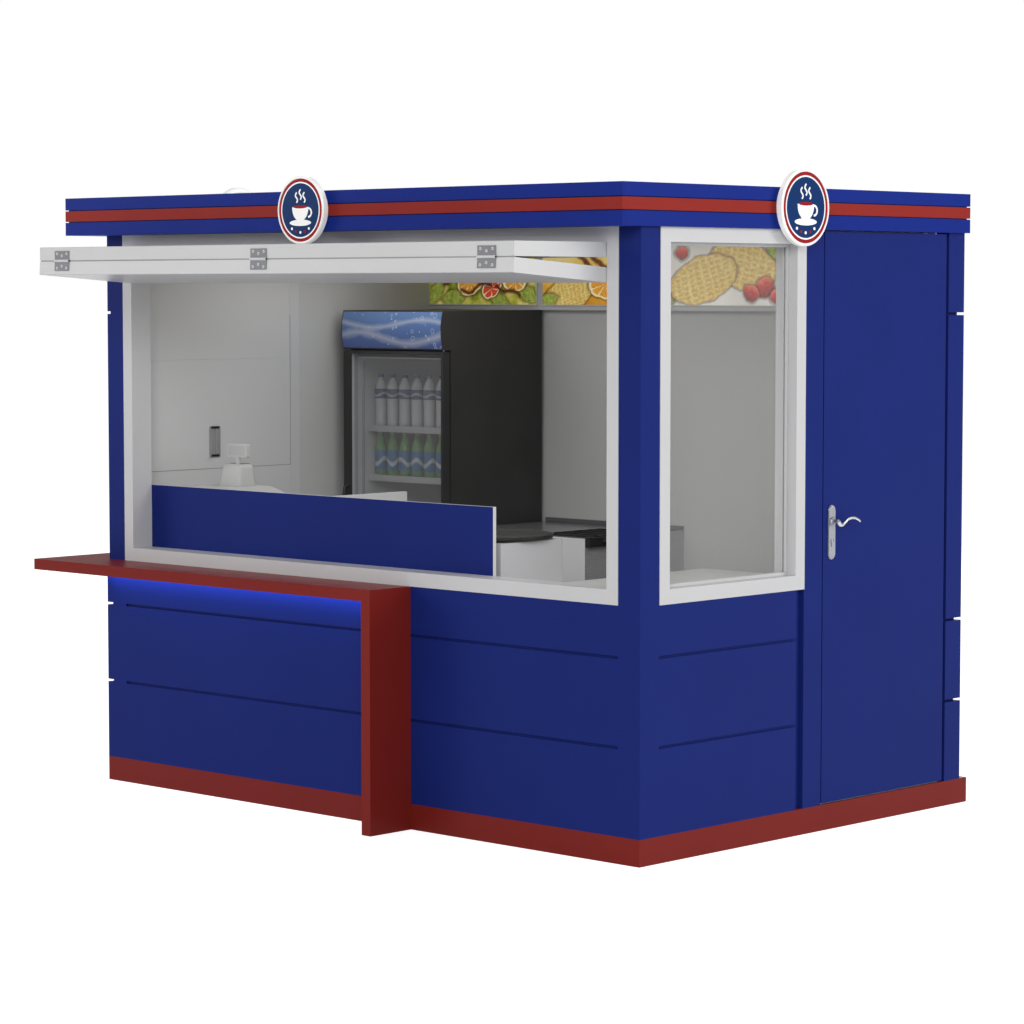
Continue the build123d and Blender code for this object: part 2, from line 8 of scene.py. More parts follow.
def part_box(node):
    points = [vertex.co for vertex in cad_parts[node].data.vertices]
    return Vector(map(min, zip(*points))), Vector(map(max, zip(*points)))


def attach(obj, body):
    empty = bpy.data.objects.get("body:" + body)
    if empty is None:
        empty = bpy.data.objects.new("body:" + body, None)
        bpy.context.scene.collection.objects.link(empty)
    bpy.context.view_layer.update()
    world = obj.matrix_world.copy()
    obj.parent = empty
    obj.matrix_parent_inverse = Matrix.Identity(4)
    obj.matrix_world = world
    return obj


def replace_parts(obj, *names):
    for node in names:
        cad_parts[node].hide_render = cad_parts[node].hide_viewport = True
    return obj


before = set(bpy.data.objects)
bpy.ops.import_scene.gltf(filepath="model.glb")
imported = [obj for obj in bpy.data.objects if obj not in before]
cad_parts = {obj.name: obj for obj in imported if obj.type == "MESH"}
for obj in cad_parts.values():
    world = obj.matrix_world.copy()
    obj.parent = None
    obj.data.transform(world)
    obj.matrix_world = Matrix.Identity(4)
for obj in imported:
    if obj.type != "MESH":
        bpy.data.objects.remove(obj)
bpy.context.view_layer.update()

# The kiosk's looks: procedural materials on the CAD nodes, and the detail that rides
# on them. Metres, in the frame of the CAD: service side -Y, door side +X, up +Z.


class Bounds:
    """The box round a CAD node: its corners, sides, middle and size."""

    def __init__(self, node):
        self.low, self.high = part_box(node)
        self.x0, self.y0, self.z0 = self.low
        self.x1, self.y1, self.z1 = self.high
        self.middle = (self.low + self.high) / 2
        self.size = self.high - self.low


# --- Colours --------------------------------------------------------------------

def srgb(red, green, blue):
    """A colour given in 0-255 screen values, as the linear values a shader takes."""
    def linear(value):
        value = value / 255
        return value / 12.92 if value <= 0.04045 else ((value + 0.055) / 1.055) ** 2.4
    return (linear(red), linear(green), linear(blue), 1.0)


def lit(color, factor):
    """The colour made lighter or darker by a factor."""
    return tuple(min(1.0, c * factor) for c in color[:3]) + (1.0,)


NONE, FULL = (0, 0, 0, 1), (1, 1, 1, 1)
BLUE = srgb(26, 41, 113)
FASCIA_BLUE = srgb(24, 44, 133)
RED = srgb(125, 36, 30)
FASCIA_RED = srgb(148, 46, 40)
WHITE = srgb(205, 205, 206)
ROOM_WHITE = srgb(198, 198, 197)
BLACK = srgb(58, 58, 58)
STEEL = srgb(176, 176, 180)


# --- Materials ------------------------------------------------------------------

def operator(operation, swapped=False):
    def apply(wire, other=0.0):
        pair = (other, wire) if swapped else (wire, other)
        return wire.shade.math(operation, *pair)
    return apply


class Wire:
    """What a node gives out; arithmetic on it adds math nodes."""

    def __init__(self, shade, socket):
        self.shade, self.socket = shade, socket

    __add__ = operator("ADD")
    __mul__ = __rmul__ = operator("MULTIPLY")
    __sub__, __rsub__ = operator("SUBTRACT"), operator("SUBTRACT", True)
    __truediv__, __pow__ = operator("DIVIDE"), operator("POWER")
    __lt__, __gt__ = operator("LESS_THAN"), operator("GREATER_THAN")
    __abs__, sine, angle = operator("ABSOLUTE"), operator("SINE"), operator("ARCTAN2")
    least, most = operator("MINIMUM"), operator("MAXIMUM")

    def clamp(self, top=1.0):
        return self.shade.wire("ShaderNodeClamp", 0, {"Value": self, "Max": top})


class Shade:
    """A node material built round one Principled shader."""

    def __init__(self, name):
        self.material = bpy.data.materials.new(name)
        self.material.use_nodes = True
        self.tree = self.material.node_tree
        self.shader = self.tree.nodes["Principled BSDF"]
        self.place = self.wire("ShaderNodeTexCoord", "Object")

    def node(self, kind, inputs=None, **settings):
        made = self.tree.nodes.new(kind)
        for key, value in settings.items():
            setattr(made, key, value)
        for key, value in (inputs or {}).items():
            if isinstance(value, Wire):
                self.tree.links.new(value.socket, made.inputs[key])
            else:
                made.inputs[key].default_value = value
        return made

    def wire(self, kind, output, inputs=None, **settings):
        return Wire(self, self.node(kind, inputs, **settings).outputs[output])

    def set(self, **sockets):
        """Uniform values go on the shader's own sockets; underscores stand for spaces."""
        for key, value in sockets.items():
            self.shader.inputs[key.replace("_", " ")].default_value = value

    def link(self, wire, socket):
        self.tree.links.new(wire.socket, self.shader.inputs[socket])

    def math(self, operation, first, second=0.0):
        return self.wire("ShaderNodeMath", 0, {0: first, 1: second}, operation=operation)

    def vector(self, operation, first, second):
        return self.wire("ShaderNodeVectorMath", 0, {0: first, 1: second}, operation=operation)

    def noise(self, scale, detail=3.0, stretch=None, roughness=0.5, output="Fac"):
        place = self.place
        if stretch:
            place = self.wire("ShaderNodeMapping", "Vector", {"Vector": place, "Scale": stretch})
        inputs = {"Vector": place, "Scale": scale, "Detail": detail, "Roughness": roughness}
        return self.wire("ShaderNodeTexNoise", output, inputs)

    def cells(self, place, scale):
        return self.wire("ShaderNodeTexVoronoi", "Distance", {"Vector": place, "Scale": scale})

    def ramp(self, factor, *stops):
        made = self.node("ShaderNodeValToRGB", {"Fac": factor})
        elements = made.color_ramp.elements
        while len(elements) < len(stops):
            elements.new(0.5)
        for element, (position, color) in zip(elements, stops):
            element.position = position
            element.color = color
        return Wire(self, made.outputs["Color"])

    def mix(self, factor, first, second, blend="MIX"):
        inputs = {0: factor, 6: first, 7: second}
        return self.wire("ShaderNodeMix", 2, inputs, data_type="RGBA", blend_type=blend)

    def span(self, value, low=0.0, high=1.0, start=0.0, end=1.0):
        """The value's run from low to high, laid over the run from start to end."""
        inputs = {"Value": value, "From Min": low, "From Max": high, "To Min": start, "To Max": end}
        return self.wire("ShaderNodeMapRange", "Result", inputs)

    def tone(self, color, spread, scale=2.0, stretch=None):
        """The colour with a soft lighter and darker drift over the surface."""
        drift = self.noise(scale, 4.0, stretch)
        return self.ramp(drift, (0.3, lit(color, 1 - spread)), (0.7, lit(color, 1 + spread)))

    def rough(self, low, high, scale=9.0, stretch=None):
        self.link(self.span(self.noise(scale, 4.0, stretch), 0, 1, low, high), "Roughness")

    def bump(self, height, strength, distance):
        inputs = {"Height": height, "Strength": strength, "Distance": distance}
        self.link(self.wire("ShaderNodeBump", "Normal", inputs), "Normal")

    def axis(self, name, vector=None):
        return self.wire("ShaderNodeSeparateXYZ", name, {"Vector": vector or self.place})

    def inside(self, low, high):
        """1 where the surface lies between two corners, 0 elsewhere."""
        within = 1.0
        for name, start, end in zip("XYZ", low, high):
            within = within * (abs(self.axis(name) - (start + end) / 2) < (end - start) / 2)
        return within

    def finish(self, tone, rough, grain=None, glow=0.0, **sockets):
        """Rough is low, high, scale and stretch; grain is strength, distance and noise."""
        self.link(tone, "Base Color")
        self.rough(*rough)
        if grain:
            self.bump(self.noise(*grain[2:]), *grain[:2])
        if glow:
            self.link(tone, "Emission Color")
            self.set(Emission_Strength=glow)
        self.set(**sockets)
        return self.material


# --- Finishes -------------------------------------------------------------------

menu, guard = Bounds("menu_light_box"), Bounds("guard_boards")
door, roof = Bounds("door_leaf"), Bounds("roof_panel")
ROOM_MARGIN = 0.003
ROOM_LOW = (menu.x0 - ROOM_MARGIN, guard.y0 - ROOM_MARGIN)
ROOM_HIGH = (menu.x1 + ROOM_MARGIN, menu.y1 + ROOM_MARGIN)


def paint(name, color, rough=0.42, specular=0.05, spread=0.05, inner=None, grain=0.10):
    """Sprayed satin paint with a fine skin; inner is the colour that faces the room."""
    shade = Shade(name)
    tone, skin = shade.tone(color, spread), shade.noise(420, 2.0)
    if inner:
        room = shade.inside(ROOM_LOW, ROOM_HIGH)
        tone = shade.mix(room, tone, shade.tone(inner, 0.02, 1.4))
        skin = skin * (1.0 - room)
    shade.bump(skin, grain, 0.0004)
    return shade.finish(tone, (rough - 0.05, rough + 0.07), Specular_IOR_Level=specular)


def sided(name, side, near, far, rough, grain, specular=0.05):
    """One tone where side gives 1 and another elsewhere; a tone is colour, spread, scale."""
    shade = Shade(name)
    tone = shade.mix(side(shade), shade.tone(*far), shade.tone(*near))
    return shade.finish(tone, rough, grain, Specular_IOR_Level=specular)


def laminate(name, color, rough=0.35, specular=0.35, spread=0.03):
    shade = Shade(name)
    gloss, grain = (rough - 0.04, rough + 0.06, 14), (0.06, 0.0003, 900, 2.0)
    return shade.finish(shade.tone(color, spread, 3.0), gloss, grain, Specular_IOR_Level=specular)


def brushed(name, color, along=(1, 1, 60), rough=0.28):
    shade = Shade(name)
    gloss, grain = (rough - 0.06, rough + 0.10, 60, along), (0.12, 0.0002, 180, 3.0, along)
    return shade.finish(shade.tone(color, 0.12, 22, along), gloss, grain, Metallic=1.0)


def glowing(name, color, strength, rough=0.4, drift=(0.06, 6), **sockets):
    shade = Shade(name)
    gloss = (rough - 0.05, rough + 0.05)
    return shade.finish(shade.tone(color, *drift), gloss, glow=strength, **sockets)


def clear(name, color, alpha, rough=0.04):
    shade = Shade(name)
    sockets = {"Alpha": alpha, "Specular_IOR_Level": 0.5}
    return shade.finish(shade.tone(color, 0.05, 1.5), (rough, rough + 0.04, 3), **sockets)


def iron(name, color):
    shade = Shade(name)
    gloss, grain = (0.38, 0.62, 24), (0.25, 0.0005, 260, 4.0)
    return shade.finish(shade.tone(color, 0.35, 30), gloss, grain, Specular_IOR_Level=0.4)


def roof_paint():
    """A pale grey roof sheet above, white ceiling inside and blue soffit outside."""
    shade = Shade("roof_paint")
    room = shade.inside(ROOM_LOW, ROOM_HIGH)
    below = shade.mix(room, shade.tone(FASCIA_BLUE, 0.05), shade.tone(ROOM_WHITE, 0.02))
    above = shade.axis("Z") > roof.z1 - 0.002
    tone = shade.mix(above, below, shade.tone(srgb(150, 152, 156), 0.10, 6))
    return shade.finish(tone, (0.5, 0.7), (0.12, 0.0006, 90, 4.0), Specular_IOR_Level=0.25)


def floor_covering():
    """Safety vinyl: grey with fine dark and pale flecks."""
    shade = Shade("floor_covering")
    stops = (0.36, srgb(70, 72, 76)), (0.5, srgb(112, 114, 118)), (0.66, srgb(150, 152, 156))
    flecks = shade.ramp(shade.noise(260, 2.0), *stops)
    return shade.finish(flecks, (0.45, 0.62), (0.2, 0.0004, 300, 3.0), Specular_IOR_Level=0.3)


def topped(name, top_color, rough, front=srgb(206, 206, 208), end=None):
    """Pale laminate sides with another look on the top and, if given, a darker tone on the right
    end that paints shade there.
    """
    shade = Shade(name)
    normal = shade.wire("ShaderNodeNewGeometry", "Normal")
    sides = shade.tone(front, 0.03, 3)
    if end:
        # The end tone is painted shade on the faces turned to +X.
        turned = shade.axis("X", normal) > 0.7
        sides = shade.mix(turned, sides, shade.tone(end, 0.14, 30, (1, 1, 12)))
    top = shade.axis("Z", normal) > 0.7
    shade.link(shade.mix(top, sides, shade.tone(top_color, 0.06, 7)), "Base Color")
    gloss = shade.span(top, 0, 1, 0.38, rough) + shade.noise(18, 4.0) * 0.08
    shade.link(gloss, "Roughness")
    shade.bump(shade.noise(900, 2.0), 0.05, 0.0003)
    shade.set(Specular_IOR_Level=0.5)
    return shade.material


blue_paint = paint("blue_paint", BLUE, inner=ROOM_WHITE)
roof_sheet = roof_paint()
white_coat = paint("white_coat", WHITE, 0.36, 0.3, 0.02)
black_coat = paint("black_coat", BLACK, 0.45, 0.3, grain=0.35)
cabinet_white = laminate("cabinet_white", srgb(200, 200, 202))
steel_brushed = brushed("steel_brushed", STEEL)
satin_steel = brushed("satin_steel", srgb(196, 198, 200), (1, 1, 30), 0.32)
plate_steel = brushed("plate_steel", srgb(162, 165, 170), (1, 1, 30), 0.36)
iron_dark = iron("iron_dark", srgb(30, 30, 32))
sign_white = glowing("sign_white", srgb(236, 236, 234), 0.22, 0.3)
ink = {"strength": 0.10, "rough": 0.35, "drift": (0.04, 5), "Specular_IOR_Level": 0.08}
sign_red = glowing("sign_red", srgb(150, 24, 34), **ink)
sign_blue = glowing("sign_blue", srgb(10, 48, 100), **ink)
zinc_grey = laminate("zinc_grey", srgb(132, 132, 136), 0.45, spread=0.10)
zinc_bright = laminate("zinc_bright", srgb(206, 206, 208), 0.3, 0.6, 0.05)
zinc_plate = laminate("zinc_plate", srgb(158, 158, 158), 0.5, spread=0.12)
seal_grey = laminate("seal_grey", srgb(150, 150, 150), 0.6)
# A grey that paints the shadow lines of the hatch's joints.
seam_shadow_grey = laminate("seam_shadow_grey", srgb(128, 128, 128), 0.6)
upstand_grey = laminate("upstand_grey", srgb(104, 104, 106), 0.3)
till_white = laminate("till_white", srgb(194, 194, 193), 0.4, spread=0.015)
till_glass = laminate("till_glass", srgb(184, 185, 185), 0.3, spread=0.02)
till_keys = laminate("till_keys", srgb(120, 122, 126), 0.5)
door_paint = sided(
    "door_paint", lambda shade: shade.axis("X") < door.x0 + 0.002,
    (ROOM_WHITE, 0.02), (BLUE, 0.05), (0.38, 0.50), (0.10, 0.0004, 420, 2.0),
)
guard_paint = sided(
    "guard_paint", lambda shade: shade.axis("Y") < guard.y0 + 0.001,
    (BLUE, 0.05), (srgb(214, 214, 214), 0.02), (0.34, 0.46), (0.08, 0.0004, 420, 2.0),
)

# --- Fridge finishes ------------------------------------------------------------

cabinet, header = Bounds("fridge_cabinet"), Bounds("fridge_header")
leaf, pane, shelf = Bounds("fridge_door"), Bounds("fridge_glass"), Bounds("fridge_shelves")
LINER_MARGIN = 0.003
cavity_low = (shelf.x0 - LINER_MARGIN, leaf.y1 + 0.004, leaf.z0 - 0.01)
cavity_high = (shelf.x1 + LINER_MARGIN, shelf.y1 + LINER_MARGIN, header.z0 - 0.035)
moulding_low = (pane.x0 - LINER_MARGIN, leaf.y0 + 0.004, pane.z0 - LINER_MARGIN)
moulding_high = (pane.x1 + LINER_MARGIN, leaf.y1 + LINER_MARGIN, pane.z1 + LINER_MARGIN)
fridge_body = sided(
    "fridge_body", lambda shade: shade.inside(cavity_low, cavity_high),
    (srgb(222, 224, 226), 0.03), (BLACK, 0.12, 5), (0.42, 0.55, 20), (0.25, 0.0004, 650, 3.0), 0.3,
)
fridge_door_coat = sided(
    "fridge_door_coat", lambda shade: shade.inside(moulding_low, moulding_high),
    (srgb(190, 192, 194), 0.03), (BLACK, 0.12, 5), (0.40, 0.55, 20), (0.2, 0.0004, 650, 3.0), 0.25,
)


def header_print():
    """Cool blue film with two soft pale ribbons and rising bubbles."""
    shade = Shade("header_print")
    height = shade.span(shade.axis("Z"), header.z0, header.z1)
    across = shade.span(shade.axis("X"), header.x0, header.x1)
    stops = (0.0, srgb(74, 92, 150)), (0.45, srgb(84, 112, 164)), (1.0, srgb(100, 130, 176))
    tone, soft = shade.ramp(height, *stops), shade.noise(14, 4.0)
    for rise, swing, phase, width in ((0.30, 0.14, 0.4, 0.09), (0.66, 0.10, 2.6, 0.06)):
        middle = (across * 6.4 + phase).sine() * swing + rise
        ribbon = 1.0 - abs(height - middle) / ((soft + 0.2) * (width * 2.4))
        tone = shade.mix((ribbon * 0.75).clamp(), tone, srgb(176, 182, 198))
    bubble = abs(shade.cells(shade.place, 26.0) - across * 0.28) < 0.035
    tone = shade.mix(bubble * 0.55, tone, srgb(196, 206, 222))
    return shade.finish(tone, (0.22, 0.30), glow=0.06)


# --- Materials of the CAD nodes -------------------------------------------------

for names, material in (
    ("corner_posts door_post front_wall right_wall left_wall back_wall", blue_paint),
    ("plinth_boards counter_top counter_legs", paint("red_paint", RED, 0.36, 0.08)),
    ("window_sills window_heads window_jambs door_stops", white_coat),
    (
        "shutter_upper_leaf shutter_lower_leaf side_hatch",
        paint("shutter_white", srgb(208, 208, 208), 0.34, 0.3, 0.02),
    ),
    ("fascia_bands", paint("fascia_blue", FASCIA_BLUE, 0.40)),
    ("fascia_stripe", paint("fascia_red", FASCIA_RED, 0.40)),
    ("door_leaf", door_paint),
    ("guard_boards", guard_paint),
    ("roof_panel", roof_sheet),
    ("base_floor", floor_covering()),
    ("side_window_glass", clear("window_glass", srgb(196, 196, 195), 0.08)),
    ("counter_light", glowing("strip_light", srgb(60, 90, 255), 14.0)),
    ("crepe_maker menu_light_box", cabinet_white),
    ("till_stand", till_white),
    ("door_pivots fridge_door_pins fridge_shelves", steel_brushed),
    ("fridge_cabinet", fridge_body),
    ("fridge_header", black_coat),
    ("fridge_door", fridge_door_coat),
    ("fridge_glass", clear("fridge_pane", srgb(168, 168, 168), 0.20)),
    (
        "back_counter",
        # The last tone, srgb(172, 172, 174), is painted shade on the back counter's right end.
        topped(
            "back_counter_finish_and_shade", srgb(116, 116, 118), 0.14,
            srgb(228, 228, 229), srgb(172, 172, 174),
        ),
    ),
    ("side_worktop", topped("side_worktop_finish", srgb(206, 206, 204), 0.30, srgb(198, 198, 200))),
    ("front_cabinet", topped("front_cabinet_finish", srgb(196, 196, 196), 0.30)),
):
    for name in names.split():
        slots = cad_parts[name].data.materials
        slots.clear()
        slots.append(material)


# --- Mesh building --------------------------------------------------------------

def finish_piece(name, mesh, materials, body="kiosk", bevel=0.0, smooth=None):
    """Turns a bmesh into a piece that rides on a body; smooth is the sharp-edge angle."""
    data = bpy.data.meshes.new(name)
    bmesh.ops.recalc_face_normals(mesh, faces=mesh.faces)
    mesh.to_mesh(data)
    mesh.free()
    for material in materials:
        data.materials.append(material)
    made = bpy.data.objects.new(name, data)
    bpy.context.scene.collection.objects.link(made)
    if bevel:
        soften = made.modifiers.new("edge", "BEVEL")
        soften.width = bevel
        soften.segments = 2
        soften.limit_method = "ANGLE"
        soften.angle_limit = math.radians(40)
    if smooth:
        data.shade_smooth()
        data.set_sharp_from_angle(angle=math.radians(smooth))
    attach(made, body)
    return made


def add_box(mesh, low, high, index=0, matrix=Matrix()):
    """A box between two corners."""
    low, high = Vector(low), Vector(high)
    made = bmesh.ops.create_cube(mesh, size=1.0)["verts"]
    for vert in made:
        offset = Vector(a * b for a, b in zip(vert.co, high - low))
        vert.co = matrix @ ((low + high) / 2 + offset)
    for face in {f for v in made for f in v.link_faces}:
        face.material_index = index


def add_frame(mesh, low, high, wide, along, last=None):
    """Four bars round an upright rectangle along X (0) or Y (1); last is a width."""
    for bottom, top in ((low[2], low[2] + wide), (high[2] - wide, high[2])):
        add_box(mesh, (*low[:2], bottom), (*high[:2], top))
    ends = (low[along], low[along] + wide), (high[along] - (last or wide), high[along])
    for start, end in ends:
        near, far = [*low[:2], low[2] + wide], [*high[:2], high[2] - wide]
        near[along], far[along] = start, end
        add_box(mesh, near, far)


def add_skin(mesh, rings, index=0, closed=True):
    """Joins rings of points in turn; a ring of one point closes to a tip."""
    rings = [[mesh.verts.new(point) for point in ring] for ring in rings]
    faces = [mesh.faces.new(ring) for ring in (rings[0][::-1], rings[-1]) if closed]
    for lower, upper in zip(rings, rings[1:]):
        steps = max(len(lower), len(upper))
        for step in range(steps):
            after = (step + 1) % steps
            pairs = ((lower, step), (lower, after), (upper, after), (upper, step))
            corners = dict.fromkeys(ring[place % len(ring)] for ring, place in pairs)
            if len(corners) > 2:
                faces.append(mesh.faces.new(tuple(corners)))
    for face in faces:
        face.material_index = index


def polar(radius, angle):
    return radius * math.cos(angle), radius * math.sin(angle)


def turns(steps):
    return [2 * math.pi * step / steps for step in range(steps)]


def add_lathe(mesh, profile, matrix, steps=48, index=0):
    """Turns (radius, height) points about the matrix's Z axis."""
    rings = []
    for radius, height in profile:
        spots = [polar(radius, angle) for angle in turns(steps if radius else 1)]
        rings.append([matrix @ Vector((*spot, height)) for spot in spots])
    add_skin(mesh, rings, index, False)


def add_stud(mesh, matrix, steps, index, *profile):
    """A lathe piece that closes over the last point of its profile."""
    add_lathe(mesh, [*profile, (0, profile[-1][1])], matrix, steps, index)


def add_tube(mesh, points, radii, steps=10, index=0, flat=1.0):
    """A round bar through points; radii is one value or one for each point."""
    points = [Vector(p) for p in points]
    if not isinstance(radii, (list, tuple)):
        radii = [radii] * len(points)
    lengthwise = abs((points[-1] - points[0]).normalized().x) >= 0.9
    up = Vector((0, 1, 0)) if lengthwise else Vector((1, 0, 0))
    rings, starts, ends = [], points[:1] + points, points[1:] + points[-1:]
    for start, point, end, radius in zip(starts, points, ends, radii):
        along = (end - start).normalized()
        side = along.cross(up).normalized()
        other = side.cross(along).normalized() * flat
        spokes = [side * math.cos(angle) + other * math.sin(angle) for angle in turns(steps)]
        rings.append([point + spoke * radius for spoke in spokes])
    add_skin(mesh, rings, index)


def add_plate(mesh, outline, low, high, matrix, index=0):
    """A flat shape given by its 2D outline, between two heights on the matrix's Z axis."""
    add_skin(mesh, [[matrix @ Vector((x, y, z)) for x, y in outline] for z in (low, high)], index)


def arc(centre, radius, start, end, steps=24, squash=1.0):
    """Points on an arc, angles in degrees."""
    points = []
    for step in range(steps + 1):
        x, y = polar(radius, math.radians(start + (end - start) * step / steps))
        points.append((centre[0] + x, centre[1] + squash * y))
    return points


def ring(centre, radius, steps, squash=1.0):
    return arc(centre, radius, 0, 360, steps, squash)[:-1]


def rounded(half_x, half_y, radius, steps, rise=0.0):
    """A rectangle with round corners about the origin, lifted by rise."""
    outline = []
    for x, y, start in ((1, 1, 0), (-1, 1, 90), (-1, -1, 180), (1, -1, 270)):
        corner = (x * (half_x - radius), rise + y * (half_y - radius))
        outline += arc(corner, radius, start, start + 90, steps)
    return outline


def stroke(path, width):
    """The outline of a line of even width through 2D points."""
    left, right = [], []
    for before, point, after in zip(path[:1] + path, path, path[1:] + path[-1:]):
        along = (Vector(after) - Vector(before)).normalized()
        across = Vector((-along.y, along.x)) * width / 2
        left.append(tuple(Vector(point) + across))
        right.append(tuple(Vector(point) - across))
    return left + right[::-1]


def facing(origin, right, up=(0, 0, 1)):
    """A matrix whose X runs right, Y up and Z out of the surface."""
    right, up = Vector(right), Vector(up)
    matrix = Matrix((right, up, right.cross(up))).transposed().to_4x4()
    matrix.translation = Vector(origin)
    return matrix


def moved(*offset):
    return Matrix.Translation(offset)


def rotated(degrees, axis):
    return Matrix.Rotation(math.radians(degrees), 4, axis)


# --- Round signs ----------------------------------------------------------------

def round_sign(name, matrix, radius, depth):
    """A shallow light box: white tray, red and white rings and a cup on a blue field."""
    k, back, step = radius / 0.135, -0.0045, -depth * 0.66
    tray, face = bmesh.new(), bmesh.new()
    add_lathe(tray, [
        (0, -depth), (radius * 0.88, -depth), (radius * 0.88, step), (radius - 0.003, step),
        (radius, step + 0.003), (radius, -0.004), (radius - 0.004, 0), (radius - 0.009 * k, 0),
        (radius - 0.010 * k, -0.003), (0, -0.003),
    ], matrix, 96)
    finish_piece(name + "_tray", tray, [sign_white], smooth=40)

    def shape(outline, top, index):
        add_plate(face, [(x * k, y * k) for x, y in outline], back, top, matrix, index)

    for outer, inner, top, index in (
        (0.1245, 0.1120, -0.0018, 0), (0.1120, 0.1065, -0.0014, 1), (0.1065, 0.0, -0.0018, 2),
    ):
        rim = [(outer * k, back), (outer * k, top), (inner * k, top)]
        add_lathe(face, rim, matrix, 96, index)
    bowl = arc((0, 0.008), 0.046, 180, 360, 28, 1.12)
    shape(ring((0, -0.050), 0.062, 40, 0.20), -0.0010, 1)
    shape([(-0.046, 0.012), *bowl, (0.046, 0.012)], -0.0004, 1)
    shape(stroke(arc((0.047, -0.010), 0.017, -95, 95, 18), 0.0075), -0.0008, 1)
    shape(ring((0, 0.013), 0.040, 32, 0.16), -0.0001, 0)
    for shift, rise in ((-0.022, 0.030), (0.0, 0.042), (0.022, 0.030)):
        steam = [
            (shift + 0.006 * math.sin(0.15 * math.pi * i), rise + 0.040 * i / 14) for i in range(15)
        ]
        shape(stroke(steam, 0.0065), -0.0008, 1)
    for dot in range(-2, 3):
        spot = polar(0.088, math.radians(17 * dot - 90))
        shape(ring(spot, 0.0055, 16), -0.0008, 0 if dot % 2 else 1)
    return finish_piece(
        name + "_face", face, [sign_red, sign_white, sign_blue], smooth=30
    )


sign, fascia = Bounds("round_signs"), Bounds("fascia_bands")
FRONT_SIGN_RADIUS = 0.132
FRONT_SIGN_X = -0.115
SIDE_SIGN_Y = -0.112
signs = [
    round_sign(name, facing((x, y, sign.middle.z), right), radius, fascia.y0 - sign.y0)
    for name, x, y, right, radius in (
        ("sign_front", FRONT_SIGN_X, sign.y0, (1, 0, 0), FRONT_SIGN_RADIUS),
        ("sign_right", sign.x1, SIDE_SIGN_Y, (0, 1, 0), sign.size.z / 2),
        ("sign_left", sign.x0, SIDE_SIGN_Y, (0, -1, 0), sign.size.z / 2),
    )
]
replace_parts(signs[0], "round_signs")


# --- Roof and walls -------------------------------------------------------------

def roof_laps():
    """Lapped sheet joints across the roof."""
    mesh = bmesh.new()
    sheets, lap, rise, edge = 4, 0.030, 0.003, 0.012
    for sheet in range(1, sheets):
        x = roof.x0 + roof.size.x * sheet / sheets
        low, high = (x - lap, roof.y0 + edge, roof.z1), (x + lap, roof.y1 - edge, roof.z1 + rise)
        add_box(mesh, low, high)
    finish_piece("roof_laps", mesh, [roof_sheet], bevel=0.001)


GROOVES = (0.426, 0.755, 1.988)
POST_RECESS = 0.045
POST_WIDTH = 0.105
UPPER_LEFT_START = 0.030
front, right, left, back = (Bounds(side + "_wall") for side in ("front", "right", "left", "back"))


def groove_inlays():
    """Painted strips set back in the wall grooves, behind the face of the boards."""
    mesh = bmesh.new()
    half, near, far = 0.0053, 0.009, 0.019
    upper = front.x0 - POST_WIDTH
    for heights, x0, y0, x1, y1 in (
        (GROOVES[:2], front.x0, front.y0 + near, front.x1, front.y0 + far),
        (GROOVES[:2], right.x1 - far, right.y0, right.x1 - near, right.y1 - POST_RECESS),
        (GROOVES[:2], left.x0 + near, left.y0, left.x0 + far, left.y1),
        (GROOVES[2:], upper + near, UPPER_LEFT_START, upper + far, left.y1),
        (GROOVES, back.x0, back.y1 - far, back.x1, back.y1 - near),
    ):
        for z in heights:
            add_box(mesh, (x0, y0, z - half), (x1, y1, z + half))
    finish_piece("groove_inlays", mesh, [blue_paint])


def rear_ledge_strip():
    """The board that takes the lower cladding up to the sill behind the counter's end."""
    gap, proud = 0.0003, 0.0157
    mesh, top = bmesh.new(), Bounds("counter_top")
    low = (left.x0, top.y1 + gap, top.z0 + gap)
    add_box(mesh, low, (left.x0 + proud, left.y1 - gap, top.z1))
    finish_piece("rear_ledge_strip", mesh, [blue_paint])


roof_laps()
groove_inlays()
rear_ledge_strip()


# --- Fridge ---------------------------------------------------------------------

LEVELS = 5
SHELF_PITCH = 0.222
SHELF_THICK = 0.022


def header_film():
    """The film follows the header's bowed front."""
    mesh = bmesh.new()
    rows, edge, proud, sunk = 16, 0.006, 0.0015, 0.0005
    x0, x1 = header.x0 + edge, header.x1 - 0.002
    rings = []
    for row in range(rows + 1):
        z = header.z0 + edge + (header.size.z - 2 * edge) * row / rows
        off = (z - header.middle.z) / (header.size.z / 2)
        y = header.y0 + (leaf.y0 - header.y0) * off ** 2
        rings.append([(x0, y - proud, z), (x1, y - proud, z), (x1, y + sunk, z), (x0, y + sunk, z)])
    add_skin(mesh, rings)
    finish_piece("fridge_header_film", mesh, [header_print()], smooth=40)


def shelf_grids():
    """Wire grids on the shelf trays with a price rail along each front edge."""
    mesh = bmesh.new()
    rail, wires = 0.004, 22
    for level in range(LEVELS):
        top = shelf.z1 - level * SHELF_PITCH
        low = (shelf.x0 + 0.002, shelf.y0 - rail, top - SHELF_THICK - 0.003)
        add_box(mesh, low, (shelf.x1 - 0.002, shelf.y0, top + 0.004))
        for wire in range(wires):
            x = shelf.x0 + shelf.size.x * (wire + 0.5) / wires
            add_tube(mesh, [(x, shelf.y0, top + 0.001), (x, shelf.y1, top + 0.001)], 0.0018, 6, 1)
    materials = [cabinet_white, steel_brushed]
    finish_piece("fridge_shelf_grids", mesh, materials, bevel=0.0008)


